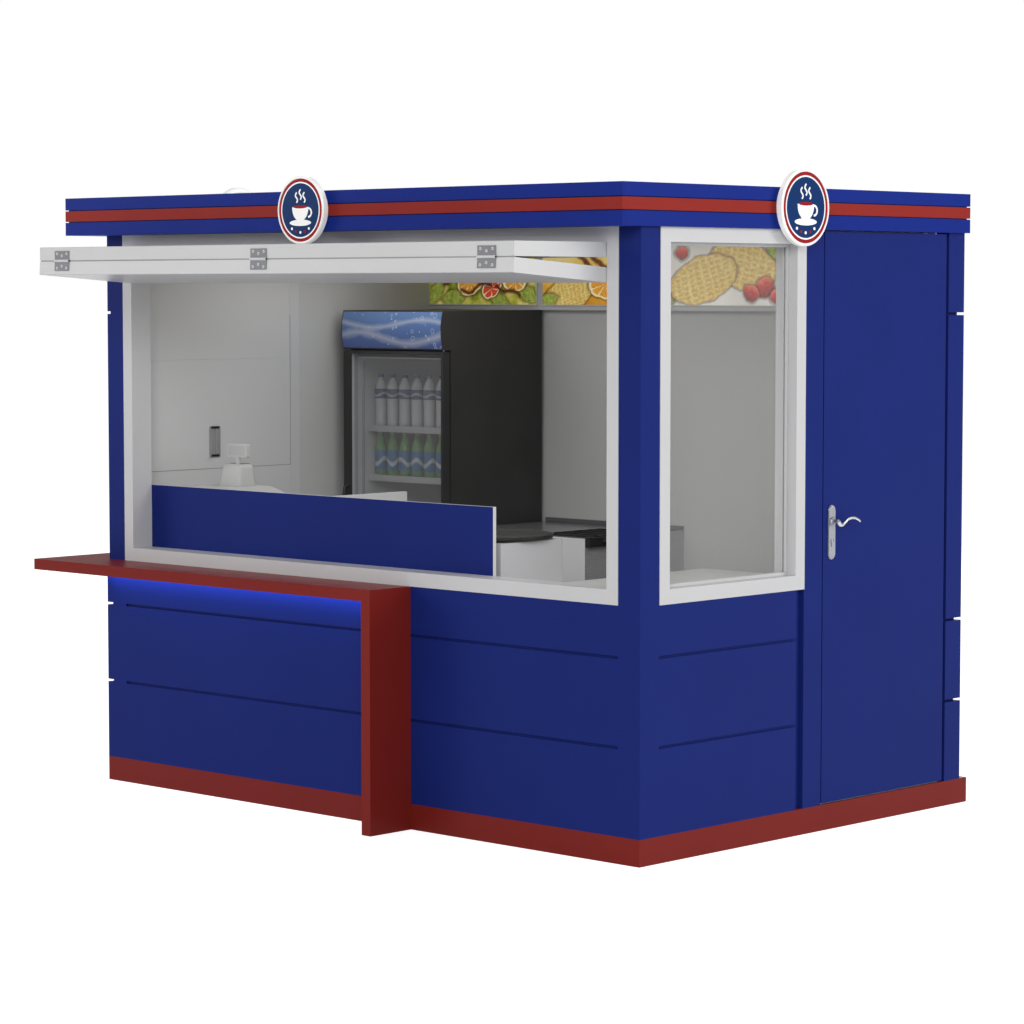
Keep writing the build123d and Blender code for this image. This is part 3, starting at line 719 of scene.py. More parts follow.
def door_details():
    """Gasket and handle bar on the fridge door."""
    mesh = bmesh.new()
    edge, gasket = 0.006, 0.012
    low = (leaf.x0 + edge, leaf.y1, leaf.z0 + edge)
    high = (leaf.x1 - edge, leaf.y1 + 0.005, leaf.z1 - edge)
    add_frame(mesh, low, high, gasket, 0, gasket / 2)
    bend = ((0.0, 0.16), (0.020, 0.150), (0.026, 0.12))
    path = [(out, -rise) for out, rise in bend] + list(bend[::-1])
    x, middle = leaf.x0 + 0.026, leaf.middle.z
    add_tube(mesh, [(x, leaf.y0 - out, middle + rise) for out, rise in path], 0.007, 12)
    finish_piece(
        "fridge_door_fittings", mesh, [black_coat], "fridge_door", 0.001, 45
    )


def base_grille():
    """Slatted vent in the fridge's plinth."""
    mesh = bmesh.new()
    slats, bottom, top = 9, cabinet.z0 + 0.025, leaf.z0 - 0.03
    for slat in range(slats):
        z = bottom + (top - bottom) * slat / slats
        low = (cabinet.x0 + 0.03, cabinet.y0 - 0.006, z)
        add_box(mesh, low, (cabinet.x1 - 0.03, cabinet.y0, z + 0.007))
    finish_piece("fridge_grille", mesh, [black_coat], bevel=0.001)


def fridge_lamps():
    """Slim light strips up the cavity's front corners."""
    mesh = bmesh.new()
    for x in (shelf.x0 + 0.002, shelf.x1 - 0.010):
        low = (x, leaf.y1 + 0.030, leaf.z0 + 0.04)
        add_box(mesh, low, (x + 0.008, leaf.y1 + 0.042, header.z0 - 0.06))
    light = glowing("fridge_light", srgb(150, 152, 156), 0.10)
    finish_piece("fridge_lamps", mesh, [light], bevel=0.002)


# A bottle's profiles in shares of its radius and height.
BOTTLE_RADIUS = 0.0285
BOTTLE_PITCH = 0.077
BOTTLE_COUNT = 7
WATER_BODY = (
    (0, 0), (.80, 0), (.95, .02), (.95, .08), (.90, .10), (.95, .12), (.90, .15), (.95, .18),
    (.90, .22), (.95, .26), (.90, .30), (.95, .34), (.94, .52), (.98, .54), (.98, .72), (.90, .78),
    (.66, .86), (.40, .92), (.38, .94),
)
SODA_BODY = (
    (0, 0), (.70, 0), (.92, .03), (.97, .09), (.97, .50), (.95, .60), (.84, .70), (.62, .80),
    (.43, .88), (.39, .93),
)


def label_print(name, low, high, base, mark):
    """A wrap with a pale wave across an even ink, between two heights."""
    shade = Shade(name)
    wave = ((shade.axis("X") + shade.axis("Y")) * 62.0).sine()
    lifted = shade.span(shade.axis("Z"), low, high) + wave * 0.14
    tone = shade.ramp(lifted, (0.30, base), (0.38, mark), (0.52, mark), (0.60, base))
    return shade.finish(tone, (0.25, 0.35), Specular_IOR_Level=0.5)


def bottle_row(kind, base, height, body, wrap, cap_low, glass, base_ink, mark_ink, cap_color):
    """A row of bottles: a blown body, a wrap given by radius, start and end, and a cap."""
    wide, start, end = wrap
    ends = [(wide, start), (wide + .01, start + .01), (wide + .01, end - .01), (wide, end)]
    cap = [(0, cap_low), (.43, cap_low), (.45, cap_low + .01), (.45, .99), (.40, 1.0), (0, 1.0)]
    row, mesh = Bounds("bottles"), bmesh.new()
    for place in range(BOTTLE_COUNT):
        x = row.middle.x + (place - (BOTTLE_COUNT - 1) / 2) * BOTTLE_PITCH
        for profile, index, steps in ((body, 0, 28), (ends, 1, 28), (cap, 2, 20)):
            points = [(a * BOTTLE_RADIUS, b * height) for a, b in profile]
            add_lathe(mesh, points, moved(x, row.middle.y, base + 0.0012), steps, index)
    materials = [
        clear(kind + "_bottle", *glass, 0.12),
        label_print(kind + "_wrap", base + start * height, base + end * height, base_ink, mark_ink),
        laminate(kind + "_cap", cap_color),
    ]
    name = "bottles_" + kind
    return finish_piece(name, mesh, materials, smooth=50)


header_film()
shelf_grids()
door_details()
base_grille()
fridge_lamps()
water = bottle_row(
    "water", shelf.z1, 0.230, WATER_BODY, (.99, .53, .72), .94, (srgb(232, 234, 238), 0.80),
    srgb(62, 78, 118), srgb(180, 190, 206), srgb(60, 84, 140),
)
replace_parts(water, "bottles")
bottle_row(
    "soda", shelf.z1 - SHELF_PITCH, 0.196, SODA_BODY, (.98, .12, .58), .93,
    (srgb(116, 168, 100), 0.88), srgb(70, 122, 170), srgb(206, 216, 222), srgb(150, 186, 120),
)


# --- Menu pictures on the back wall ---------------------------------------------

PICTURE_EDGES = ((-1.394, -0.718), (-0.681, -0.005), (0.032, 0.708), (0.745, 1.390))
PICTURE_LOW, PICTURE_HIGH = 2.018, 2.292
LEAF_BED = (
    (0.30, srgb(110, 124, 36)), (0.46, srgb(178, 176, 66)), (0.60, srgb(212, 200, 108)),
    (0.78, srgb(230, 224, 172)),
)
TOAST_BED = (
    (0.28, srgb(200, 136, 34)), (0.45, srgb(226, 176, 66)), (0.62, srgb(234, 204, 116)),
    (0.80, srgb(240, 228, 180)),
)
PALE_BED = ((0.30, srgb(206, 202, 192)), (0.70, srgb(232, 230, 222)))
CRUMB = (0.28, srgb(200, 156, 74)), (0.50, srgb(224, 196, 112)), (0.75, srgb(238, 224, 160))
CRUST = (0.3, srgb(172, 120, 48)), (0.7, srgb(214, 174, 92))
POCKET = srgb(178, 134, 52)
BERRY = (0.10, srgb(120, 18, 16)), (0.60, srgb(196, 44, 32)), (0.95, srgb(232, 120, 96))
SEED = srgb(240, 196, 110)
LEAF_LIGHT, LEAF_DARK = srgb(176, 186, 84), srgb(84, 112, 34)
PITH, SEAM = srgb(242, 230, 190), srgb(240, 226, 176)
SHADOW = srgb(74, 48, 22)
BARK, SYRUP = srgb(104, 52, 24), srgb(92, 36, 16)
ORANGE = (srgb(214, 150, 44), srgb(206, 142, 44))
LIME = (srgb(96, 136, 34), srgb(150, 176, 62))
BLOOD = (srgb(150, 40, 24), srgb(196, 70, 40))


class Film(Shade):
    """A back-lit print: soft-edged food motifs laid one over another."""

    def __init__(self, name, left, ground, drift, lift=0.0):
        super().__init__(name)
        self.left = left
        centred = self.vector("SUBTRACT", self.noise(22.0, output="Color"), (0.5, 0.5, 0.5))
        small = self.vector("MULTIPLY", centred, (0.030, 0.0, 0.030))
        self.bent = self.vector("ADD", self.place, small)
        height = (self.axis("Z") - PICTURE_LOW) / (PICTURE_HIGH - PICTURE_LOW)
        self.laid = self.ramp(self.noise(drift, 4.0) * (1.0 - lift) + height * lift, *ground)

    def local(self, centre, turn=0.0, squash=1.0):
        """Distance along and across a motif's own axis, and from its centre."""
        moved = self.wire("ShaderNodeMapping", "Vector", {
            "Vector": self.bent,
            "Location": (self.left + centre[0], 0.0, PICTURE_LOW + centre[1]),
            "Rotation": (0.0, -math.radians(turn), 0.0),
            "Scale": (1.0, 1.0, squash),
        }, vector_type="TEXTURE")
        along, across = self.axis("X", moved), self.axis("Z", moved)
        flat = self.wire("ShaderNodeCombineXYZ", 0, {"X": along, "Y": across})
        reach = self.wire("ShaderNodeVectorMath", "Value", {0: flat}, operation="LENGTH")
        return along, across, reach

    def lay(self, inside, tone, soft=0.004, shadow=0.016):
        """Adds a motif; inside is the depth from its edge, and it casts a soft shadow."""
        held = ((inside + shadow) / (shadow * 1.4)).clamp(0.62)
        under = self.mix(held, self.laid, SHADOW, "MULTIPLY")
        self.laid = self.mix((inside / soft).clamp(), under, tone)

    def rim(self, inside, width, tone, edge):
        """The tone of a motif with another tone towards its edge."""
        return self.mix((inside / width).clamp(), edge, tone)

    def waffle(self, centre, radius, turn, squash, cell=0.024):
        """A toasted disc with a grid of pockets."""
        along, across, reach = self.local(centre, turn, squash)
        inside, turns_a_metre = radius - reach, math.pi / cell
        bars = abs((along * turns_a_metre).sine()).least(abs((across * turns_a_metre).sine()))
        pocket = self.ramp(bars, (0.38, NONE), (0.72, FULL))
        crumb = self.ramp(self.noise(70, 5.0, roughness=0.7), *CRUMB)
        crust = self.ramp(self.noise(40, 4.0), *CRUST)
        self.lay(inside, self.rim(inside, 0.016, self.mix(pocket * 0.42, crumb, POCKET), crust))

    def berry(self, centre, radius, turn=0.0):
        """A red berry, lighter above, with pale seeds."""
        _, across, reach = self.local(centre, turn, 0.8)
        skin = self.ramp((across + radius) / (2 * radius), *BERRY)
        dots = self.ramp(self.cells(self.bent, 130.0), (0.16, FULL), (0.26, NONE))
        self.lay(radius - reach, self.mix(dots * 0.55, skin, SEED))

    def leaf(self, centre, length, turn):
        """A pointed leaf with a pale spine and fine veins."""
        along, across, _ = self.local(centre, turn)
        away = abs(across)
        inside = (1.0 - abs(along / (length / 2)) ** 2.0) * (length * 0.24) - away
        veins = abs(((along - away) * 260.0).sine()) * 0.25 + self.noise(46, 4.0)
        tone = self.ramp(veins, (0.35, LEAF_DARK), (0.85, LEAF_LIGHT))
        spine = self.ramp(away * 400.0, (0.4, LEAF_LIGHT), (0.9, NONE))
        self.lay(inside, self.mix(0.22, tone, spine, "SCREEN"))

    def slice(self, centre, radius, turn, fruit, squash=0.7, lobes=9):
        """A cut fruit: peel, pith, and segments parted by pale lines."""
        skin, flesh = fruit
        along, across, reach = self.local(centre, turn, squash)
        inside = radius - reach
        parted = self.ramp(
            abs((across.angle(along) * (lobes / 2)).sine()), (0.10, NONE), (0.30, FULL)
        )
        juice = self.ramp(self.noise(90, 4.0), (0.3, flesh), (0.8, lit(flesh, 1.5)))
        pith = self.rim(inside, radius * 0.10, PITH, skin)
        core = inside - radius * 0.14
        self.lay(inside, self.rim(core, radius * 0.05, self.mix(parted, SEAM, juice), pith))

    def stick(self, centre, length, turn, width, tone, wave=0.0):
        """A dark rounded strip, straight or waved."""
        along, across, _ = self.local(centre, turn)
        bend = (along * 46.0).sine() * wave
        inside = (width - abs(across - bend)).least(length / 2 - abs(along))
        bark = self.ramp(self.noise(60, 4.0, (1, 1, 5)), (0.35, tone), (0.85, lit(tone, 2.6)))
        self.lay(inside, self.rim(inside, width * 0.8, bark, lit(tone, 0.5)), 0.002, 0.010)


# Each film's ground, drift and lift, and its motifs with their arguments.
FILMS = (
    ("film_greens", LEAF_BED, 16, 0.0, (
        (Film.leaf, (0.05, 0.06), 0.15, 50), (Film.leaf, (0.16, 0.03), 0.16, 8),
        (Film.leaf, (0.62, 0.05), 0.15, 150), (Film.leaf, (0.44, 0.02), 0.13, -14),
        (Film.slice, (0.26, 0.10), 0.085, 10, ORANGE),
        (Film.slice, (0.40, 0.075), 0.070, 30, BLOOD, 0.6, 6),
        (Film.slice, (0.54, 0.11), 0.080, 0, ORANGE),
        (Film.stick, (0.30, 0.075), 0.20, 12, 0.006, SYRUP, 0.010),
        (Film.stick, (0.50, 0.060), 0.16, -16, 0.006, SYRUP, 0.010),
        (Film.stick, (0.14, 0.12), 0.12, 30, 0.006, SYRUP, 0.010),
    )),
    ("film_glazed", TOAST_BED, 9, 0.55, (
        (Film.waffle, (0.16, 0.05), 0.150, 14, 0.50),
        (Film.slice, (0.38, 0.09), 0.110, 0, ORANGE, 0.6),
        (Film.slice, (0.56, 0.06), 0.100, 40, ORANGE, 0.6), (Film.leaf, (0.04, 0.02), 0.12, 10),
        (Film.stick, (0.22, 0.22), 0.20, -38, 0.009, BARK),
        (Film.stick, (0.30, 0.21), 0.20, -32, 0.009, BARK),
        (Film.stick, (0.55, 0.20), 0.22, -22, 0.009, BARK),
    )),
    ("film_waffles", PALE_BED, 5, 0.0, (
        (Film.leaf, (0.62, 0.22), 0.13, -30), (Film.leaf, (0.05, 0.05), 0.12, 60),
        (Film.waffle, (0.44, 0.17), 0.185, -12, 0.56, 0.040),
        (Film.waffle, (0.22, 0.11), 0.190, 16, 0.52, 0.040),
        (Film.berry, (0.56, 0.075), 0.052, 10), (Film.berry, (0.485, 0.050), 0.044, -20),
        (Film.berry, (0.625, 0.040), 0.040, 30), (Film.berry, (0.10, 0.225), 0.036, 0),
    )),
    ("film_toast", TOAST_BED, 7, 0.0, (
        (Film.waffle, (0.20, 0.17), 0.150, 30, 0.55), (Film.slice, (0.42, 0.12), 0.095, 20, LIME),
        (Film.slice, (0.56, 0.18), 0.080, -10, ORANGE), (Film.berry, (0.36, 0.24), 0.034),
        (Film.leaf, (0.08, 0.05), 0.14, 24),
    )),
)


def menu_pictures():
    """Film sheets in slim snap frames on the light box."""
    rails, rim, thick = bmesh.new(), 0.006, 0.003
    for number, ((x0, x1), picture) in enumerate(zip(PICTURE_EDGES, FILMS), 1):
        name, ground, drift, lift, motifs = picture
        film = Film(name, x0, ground, drift, lift)
        for motif, *values in motifs:
            motif(film, *values)
        material = film.finish(film.laid, (0.26, 0.34), glow=0.34, Specular_IOR_Level=0.3)
        mesh = bmesh.new()
        add_box(mesh, (x0, menu.y0 - thick, PICTURE_LOW), (x1, menu.y0, PICTURE_HIGH))
        finish_piece("menu_picture_%d" % number, mesh, [material])
        low = (x0 - rim, menu.y0 - rim, PICTURE_LOW - rim)
        add_frame(rails, low, (x1 + rim, menu.y0, PICTURE_HIGH + rim), rim, 0)
    finish_piece("menu_snap_frames", rails, [white_coat], bevel=0.0012)


menu_pictures()


# --- Shutter --------------------------------------------------------------------

def butt_hinge(mesh, place, fold=0.0, knuckles=5):
    """Two screwed leaves and a segmented barrel; the face looks along -Y of place."""
    width, height, thick, barrel, gap = 0.090, 0.080, 0.003, 0.0058, 0.0012
    for side in (1, -1):
        local = place @ rotated(-fold if side < 0 else 0.0, "X")
        ends = sorted((side * barrel * 0.4, side * height / 2))
        add_box(mesh, (-width / 2, -thick, ends[0]), (width / 2, -0.0001, ends[1]), 0, local)
        for x in (-width * 0.33, 0.0, width * 0.33):
            z = side * height * (0.36 if x else 0.26)
            spot = local @ moved(x, -thick, z) @ rotated(90, "X")
            add_stud(mesh, spot, 16, 1, (0.0058, -0.0002), (0.0058, 0.0004), (0.0042, 0.0009))
            slot_low, slot_high = (x - 0.0036, -thick - 0.00125), (x + 0.0036, -thick - 0.0008)
            add_box(mesh, (*slot_low, z - 0.0007), (*slot_high, z + 0.0007), 2, local)
    turned = place @ moved(0, -thick, 0) @ rotated(90, "Y")
    pitch, end = width / knuckles, width / 2 + 0.001
    for knuckle in range(knuckles):
        x0 = -width / 2 + knuckle * pitch + gap / 2
        x1 = x0 + pitch - gap
        add_stud(mesh, turned, 20, 1, (0, x0), (barrel, x0), (barrel, x1))
    add_stud(mesh, turned, 16, 2, (0, -end), (0.0035, -end), (0.0035, end))


upper_leaf = Bounds("shutter_upper_leaf")
FOLD_HEIGHT = upper_leaf.z0 - 0.0015
FOLD_ANGLE = 4.0
BUTT_FROM_LEFT = 0.145
BUTT_FROM_RIGHT = 0.132
hinge_materials = [zinc_grey, zinc_bright, iron_dark]


def shutter_hinges():
    """Three pairs of butt hinges on the shutter's fold."""
    mesh = bmesh.new()
    ends = (upper_leaf.x0 + BUTT_FROM_LEFT, upper_leaf.x1 - BUTT_FROM_RIGHT)
    for x in (ends[0], upper_leaf.middle.x, ends[1]):
        butt_hinge(mesh, moved(x, upper_leaf.y0, FOLD_HEIGHT), FOLD_ANGLE)
    return finish_piece("shutter_butt_hinges", mesh, hinge_materials, smooth=40)


def fold_seal():
    """Grey rubber between the shutter's two leaves."""
    mesh, half = bmesh.new(), 0.0032
    low = (upper_leaf.x0 + 0.004, upper_leaf.y0 + 0.0015, FOLD_HEIGHT - half)
    add_box(mesh, low, (upper_leaf.x1 - 0.004, upper_leaf.y0 + 0.010, FOLD_HEIGHT + half))
    finish_piece("shutter_fold_seal", mesh, [seal_grey])


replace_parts(shutter_hinges(), "shutter_hinges")
fold_seal()


# --- Door furniture -------------------------------------------------------------

plate, lever = Bounds("handle_plates"), Bounds("door_lever")
SPINDLE = Vector((door.middle.x, plate.middle.y, 1.197))
PLATE_DROP = SPINDLE.z - plate.middle.z
PLATE_THICK = plate.x1 - door.x1
LEVER_PATH = (
    (0.000, 0.000, 0.0098), (0.005, -0.008, 0.0096), (0.012, -0.0135, 0.0084),
    (0.026, -0.0145, 0.0066), (0.043, -0.005, 0.0056), (0.060, 0.006, 0.0054),
    (0.084, 0.0105, 0.0056), (0.107, 0.008, 0.0054), (0.127, 0.000, 0.0050),
    (0.139, -0.008, 0.0040),
)


def handle_side(mesh, face, out):
    """Rounded back plate, lever rose, key cylinder and screws on one face of the door."""
    matrix = facing((face, SPINDLE.y, SPINDLE.z - PLATE_DROP), (0, out, 0))
    half, top = plate.size.y / 2, PLATE_THICK
    straight, base = plate.size.z / 2 - half, top - 0.0005
    outline = arc((0, straight), half, 0, 180, 20) + arc((0, -straight), half, 180, 360, 20)
    add_plate(mesh, outline, 0, top - 0.0025, matrix)
    add_plate(mesh, [(x * 0.90, y * 0.978) for x, y in outline], 0, top, matrix)
    rose, barrel = matrix @ moved(0, PLATE_DROP, 0), matrix @ moved(0, -0.036, 0)
    add_stud(mesh, rose, 32, 0, (0.0150, base), (0.0150, top + 0.003), (0.0125, top + 0.006))
    add_stud(mesh, barrel, 28, 0, (0.0085, base), (0.0085, top + 0.0035), (0.0078, top + 0.004))
    add_box(mesh, (-0.0048, -0.054, base), (0.0048, -0.036, top + 0.0035), 0, matrix)
    add_box(mesh, (-0.0008, -0.0415, top + 0.0035), (0.0008, -0.0305, top + 0.0043), 1, matrix)
    for y in (straight + half * 0.45, -straight - half * 0.45):
        spot = matrix @ moved(0, y, 0)
        add_stud(mesh, spot, 20, 0, (0.0042, base), (0.0042, top + 0.0005), (0.0026, top + 0.0012))
        low, high = (-0.0030, y - 0.0005, top + 0.0010), (0.0030, y + 0.0005, top + 0.0014)
        add_box(mesh, low, high, 1, matrix)


def lever_side(mesh, face, out):
    """Neck and waved blade; the same blade serves either face of the door."""
    arm = lever.x1 - 0.0055 if out > 0 else lever.x0 + 0.0055
    reach = (face + out * (PLATE_THICK + 0.0062), arm - out * 0.004, arm)
    add_tube(mesh, [(x, SPINDLE.y, SPINDLE.z) for x in reach], [0.0078, 0.0080, 0.0070], 24)
    path, radii, steps = [], [], 6
    for start, end in zip(LEVER_PATH, LEVER_PATH[1:]):
        for step in range(steps):
            y, z, radius = (a + (b - a) * step / steps for a, b in zip(start, end))
            path.append((arm, SPINDLE.y + y, SPINDLE.z + z))
            radii.append(radius)
    between = [
        tuple((a + 2 * b + c) / 4 for a, b, c in zip(*three))
        for three in zip(path, path[1:], path[2:])
    ]
    add_tube(mesh, [path[0], *between, path[-1]], radii, 20, 0, 0.72)


def door_seal():
    """Rubber gasket on the stops and an aluminium threshold under the leaf."""
    mesh, stops = bmesh.new(), Bounds("door_stops")
    bulb = 0.004
    x, y = stops.x1 + bulb * 0.5, door.y0 + 0.010
    add_tube(mesh, [(x, y, door.z0 + 0.02), (x, y, door.z1 - 0.02)], bulb)
    near, far, top = door.y0 - 0.004, door.y1 - 0.01, door.z0 - 0.0015
    low = (door.x0 - 0.02, near, Bounds("base_floor").z1)
    add_box(mesh, low, (door.x1 - 0.014, far, top), 1)
    for ridge in range(2):
        x = door.x0 - 0.012 + ridge * 0.017
        add_box(mesh, (x, near, top), (x + 0.006, far, top + 0.0008), 1)
    finish_piece("door_seal_and_threshold", mesh, [black_coat, satin_steel], smooth=40)


plates, levers = bmesh.new(), bmesh.new()
for face, out in ((door.x1, 1), (door.x0, -1)):
    handle_side(plates, face, out)
    lever_side(levers, face, out)
plate_piece = finish_piece(
    "door_handle_plates", plates, [plate_steel, iron_dark], "door", 0.0008, 40
)
lever_piece = finish_piece("door_lever_pair", levers, [satin_steel], "handle", smooth=60)
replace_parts(plate_piece, "handle_plates")
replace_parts(lever_piece, "door_lever")
door_seal()


# --- Side window and hatch ------------------------------------------------------

hatch = Bounds("side_hatch")
HATCH_LOWER_JOINT = 1.312
HATCH_UPPER_JOINT = (HATCH_LOWER_JOINT + hatch.z1) / 2


def glazing_bead():
    """Slim bead round the side window, both sides of the pane."""
    mesh, glass = bmesh.new(), Bounds("side_window_glass")
    deep, wide = 0.010, 0.012
    for x0, x1 in ((glass.x0 - deep, glass.x0), (glass.x1, glass.x1 + deep)):
        add_frame(mesh, (x0, glass.y0, glass.z0), (x1, glass.y1, glass.z1), wide, 1)
    finish_piece("side_window_beads", mesh, [white_coat], bevel=0.0015)


def hatch_fittings():
    """Outside of the closed hatch: butt hinges on the fold and two pull rings."""
    mesh = bmesh.new()
    pull = HATCH_LOWER_JOINT + 0.09
    for y in (hatch.y0 + 0.145, hatch.y1 - 0.145):
        butt_hinge(mesh, moved(hatch.x0, y, HATCH_UPPER_JOINT) @ rotated(-90, "Z"))
        cup = moved(hatch.x0, y, pull) @ rotated(-90, "Y")
        profile = (0.022, 0.0), (0.022, 0.0018), (0.018, 0.0026), (0.016, 0.0008)
        add_stud(mesh, cup, 32, 0, *profile)
        loop = [(hatch.x0 - 0.003, y + a, pull + b) for a, b in arc((0, 0), 0.012, 0, 360)]
        add_tube(mesh, loop, 0.0018, 8, 1)
    finish_piece("hatch_hinges_and_pulls", mesh, hinge_materials, smooth=40)


def hatch_bolt_plate():
    """Slotted plate of the hatch bolt, and grey strips that paint the shadow lines of the hatch's
    joints, on the room side.
    """
    mesh = bmesh.new()
    x, y0, y1, z0, z1 = left.x1, -0.500, -0.441, 1.362, 1.494
    thick, rim, end, ribs, half = 0.006, 0.006, 0.010, 4, 0.003
    span = y1 - y0 - 2 * rim
    line, proud, top = 0.0022, 0.0006, HATCH_LOWER_JOINT + 0.66
    bars = [
        (y0, y0 + rim, z0, z1, thick, 0), (y1 - rim, y1, z0, z1, thick, 0),
        (y0 + rim, y1 - rim, z0, z0 + end, thick, 1), (y0 + rim, y1 - rim, z1 - end, z1, thick, 1),
        (y0 + rim, y1 - rim, z0 + end, z1 - end, 0.001, 0),
        # Index 2: strips that paint the shadow lines of the hatch's joints.
        (hatch.y1, hatch.y1 + line, HATCH_LOWER_JOINT - line, top, proud, 2),
        (hatch.y0, hatch.y1, HATCH_LOWER_JOINT - line, HATCH_LOWER_JOINT, proud, 2),
    ]
    for rib in range(ribs):
        y = y0 + rim + span * (rib + 0.5) / ribs
        bars.append((y - half, y + half, z0 + end, z1 - end, 0.004, 0))
    for near, far, bottom, top, deep, index in bars:
        add_box(mesh, (x, near, bottom), (x + deep, far, top), index)
    finish_piece("hatch_bolt_plate", mesh, [zinc_plate, iron_dark, seam_shadow_grey])


glazing_bead()
hatch_fittings()
hatch_bolt_plate()


# --- Furniture ------------------------------------------------------------------

counter, drawers = Bounds("back_counter"), Bounds("front_cabinet")
griddle = Bounds("griddle")
BACK_COUNTER_TOP = 0.869
DOOR_GAP = 0.003
DOOR_THICK = 0.012
TOE_HEIGHT = 0.07
TOP_RAIL = 0.035


def cabinet_fronts(mesh, origin, right, length, high, count):
    """A row of doors with bar handles on a vertical face; right runs along the face."""
    matrix, width = facing(origin, right), length / count
    for place in range(count):
        x0, x1 = place * width + DOOR_GAP / 2, (place + 1) * width - DOOR_GAP / 2
        add_box(mesh, (x0, TOE_HEIGHT, 0), (x1, high, DOOR_THICK), 0, matrix)
        edge, top = x0 + 0.045 if place % 2 else x1 - 0.045, high - 0.06
        for start, end, radius, steps in (
            ((top - 0.02, 0), (top - 0.02, 0.022), 0.0035, 10),
            ((top - 0.12, 0), (top - 0.12, 0.022), 0.0035, 10),
            ((top, 0.024), (top - 0.14, 0.024), 0.0050, 12),
        ):
            points = [matrix @ Vector((edge, y, DOOR_THICK + out)) for y, out in (start, end)]
            add_tube(mesh, points, radius, steps, 1)


def furniture_doors():
    """Door fronts on the front cabinet and the back counter."""
    mesh = bmesh.new()
    for box, corner, right, top, count in (
        (drawers, (drawers.x1, drawers.y1), (-1, 0, 0), drawers.z1, 5),
        (counter, (counter.x0, counter.y0), (1, 0, 0), BACK_COUNTER_TOP, 3),
    ):
        high = top - box.z0 - TOP_RAIL
        cabinet_fronts(mesh, (*corner, box.z0), right, box.size.x, high, count)
    coats = [cabinet_white, satin_steel]
    finish_piece("cabinet_doors", mesh, coats, bevel=0.0012, smooth=45)


def upstand():
    """Low bar along the back wall behind the service box."""
    mesh = bmesh.new()
    low = (counter.x0, counter.y1 - 0.016, counter.z1)
    add_box(mesh, low, (griddle.x1, counter.y1, counter.z1 + 0.019))
    finish_piece("back_counter_upstand", mesh, [upstand_grey], bevel=0.002)


furniture_doors()
upstand()


# --- Cooking equipment ----------------------------------------------------------

disc, maker = Bounds("crepe_plate"), Bounds("crepe_maker")


def knob(mesh, matrix, radius, depth):
    """Control knob with a skirt and a raised pointer."""
    add_lathe(mesh, [
        (0, 0), (radius * 1.15, 0), (radius * 1.15, depth * 0.2), (radius * 0.9, depth * 0.3),
        (radius * 0.82, depth * 0.92), (radius * 0.72, depth), (0, depth),
    ], matrix, 28)
    add_box(mesh, (-0.0015, 0, depth), (0.0015, radius * 0.7, depth + 0.0015), 1, matrix)


def crepe_fittings():
    """Two knobs and a row of vent slots on the crepe maker."""
    mesh = bmesh.new()
    for offset in (-0.07, 0.07):
        spot = (maker.middle.x + offset, maker.y1, maker.z0 + 0.06)
        knob(mesh, facing(spot, (-1, 0, 0)), 0.020, 0.020)
    for vent in range(6):
        y = maker.middle.y - 0.06 + vent * 0.024
        low = (maker.x0 - 0.0012, y - 0.008, maker.z0 + 0.03)
        add_box(mesh, low, (maker.x0, y + 0.008, maker.z0 + 0.034))
    finish_piece("crepe_maker_fittings", mesh, [black_coat, white_coat], smooth=40)


def crepe_plate():
    """Cast disc with a rounded rim and a sunk face."""
    mesh, radius, thick = bmesh.new(), disc.size.x / 2, disc.size.z
    add_lathe(mesh, [
        (0, 0.002), (radius * 0.94, 0.002), (radius * 0.985, 0.006), (radius, 0.010),
        (radius, thick - 0.004), (radius - 0.004, thick - 0.001), (radius - 0.010, thick),
        (radius - 0.013, thick - 0.0012), (0, thick - 0.0012),
    ], moved(disc.middle.x, disc.middle.y, disc.z0), 96)
    return finish_piece("crepe_cast_plate", mesh, [iron_dark], smooth=30)


def griddle_plate():
    """Slim cast plate on the service box, with a rim on two sides and round bars."""
    mesh, rim = bmesh.new(), 0.006
    x0, y0, x1, y1 = griddle.x0, griddle.y0, griddle.x1, griddle.y1
    base, top = griddle.z0 + 0.009, griddle.z0 + 0.013
    add_box(mesh, griddle.low, (x1, y1, base))
    add_box(mesh, (x0, y0, base), (x0 + rim, y1, top))
    add_box(mesh, (x0, y1 - rim, base), (x1, y1, top))
    for bar in range(4):
        y = y0 + 0.03 + bar * 0.075
        add_tube(mesh, [(x0 + 0.02, y, top - 0.001), (x1 - 0.004, y, top - 0.001)], 0.003, 8)
    return finish_piece(
        "griddle_cast_plate", mesh, [iron_dark], bevel=0.001, smooth=40
    )


def griddle_tray():
    """Black tray, two knobs and a gas tube on the end of the service box."""
    mesh = bmesh.new()
    x0, x1 = griddle.x1, griddle.x1 + 0.026
    y0, y1 = griddle.y0 - 0.046, griddle.y1 + 0.06
    top = griddle.z0 + 0.004
    add_box(mesh, (x0, y0, top - 0.040), (x1, y1, top))
    add_box(mesh, (x0, y0 - 0.003, top - 0.040), (x1 + 0.003, y0 + 0.010, top + 0.002))
    for y in (y0 + 0.09, y0 + 0.21):
        knob(mesh, facing((x1, y, top - 0.020), (0, 1, 0)), 0.012, 0.016)
    pipe = [(x1 + 0.008, y, top - 0.016) for y in (y0 + 0.26, y1 - 0.03)]
    add_tube(mesh, pipe, 0.0055, 12, 2)
    coats = [iron_dark, white_coat, satin_steel]
    finish_piece("griddle_tray", mesh, coats, bevel=0.0012, smooth=45)


crepe_fittings()
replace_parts(crepe_plate(), "crepe_plate")
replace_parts(griddle_plate(), "griddle")
griddle_tray()


# --- Till -----------------------------------------------------------------------

till, stand = Bounds("till"), Bounds("till_stand")
TILL_BODY_HEIGHT = 0.090
DISPLAY_HEIGHT = 0.057
# Heights up the till's body, and how far it draws in at each.
BODY_TAPER = ((0.0, 0.0), (0.004, -0.001), (0.070, 0.008), (0.084, 0.011), (0.090, 0.017))


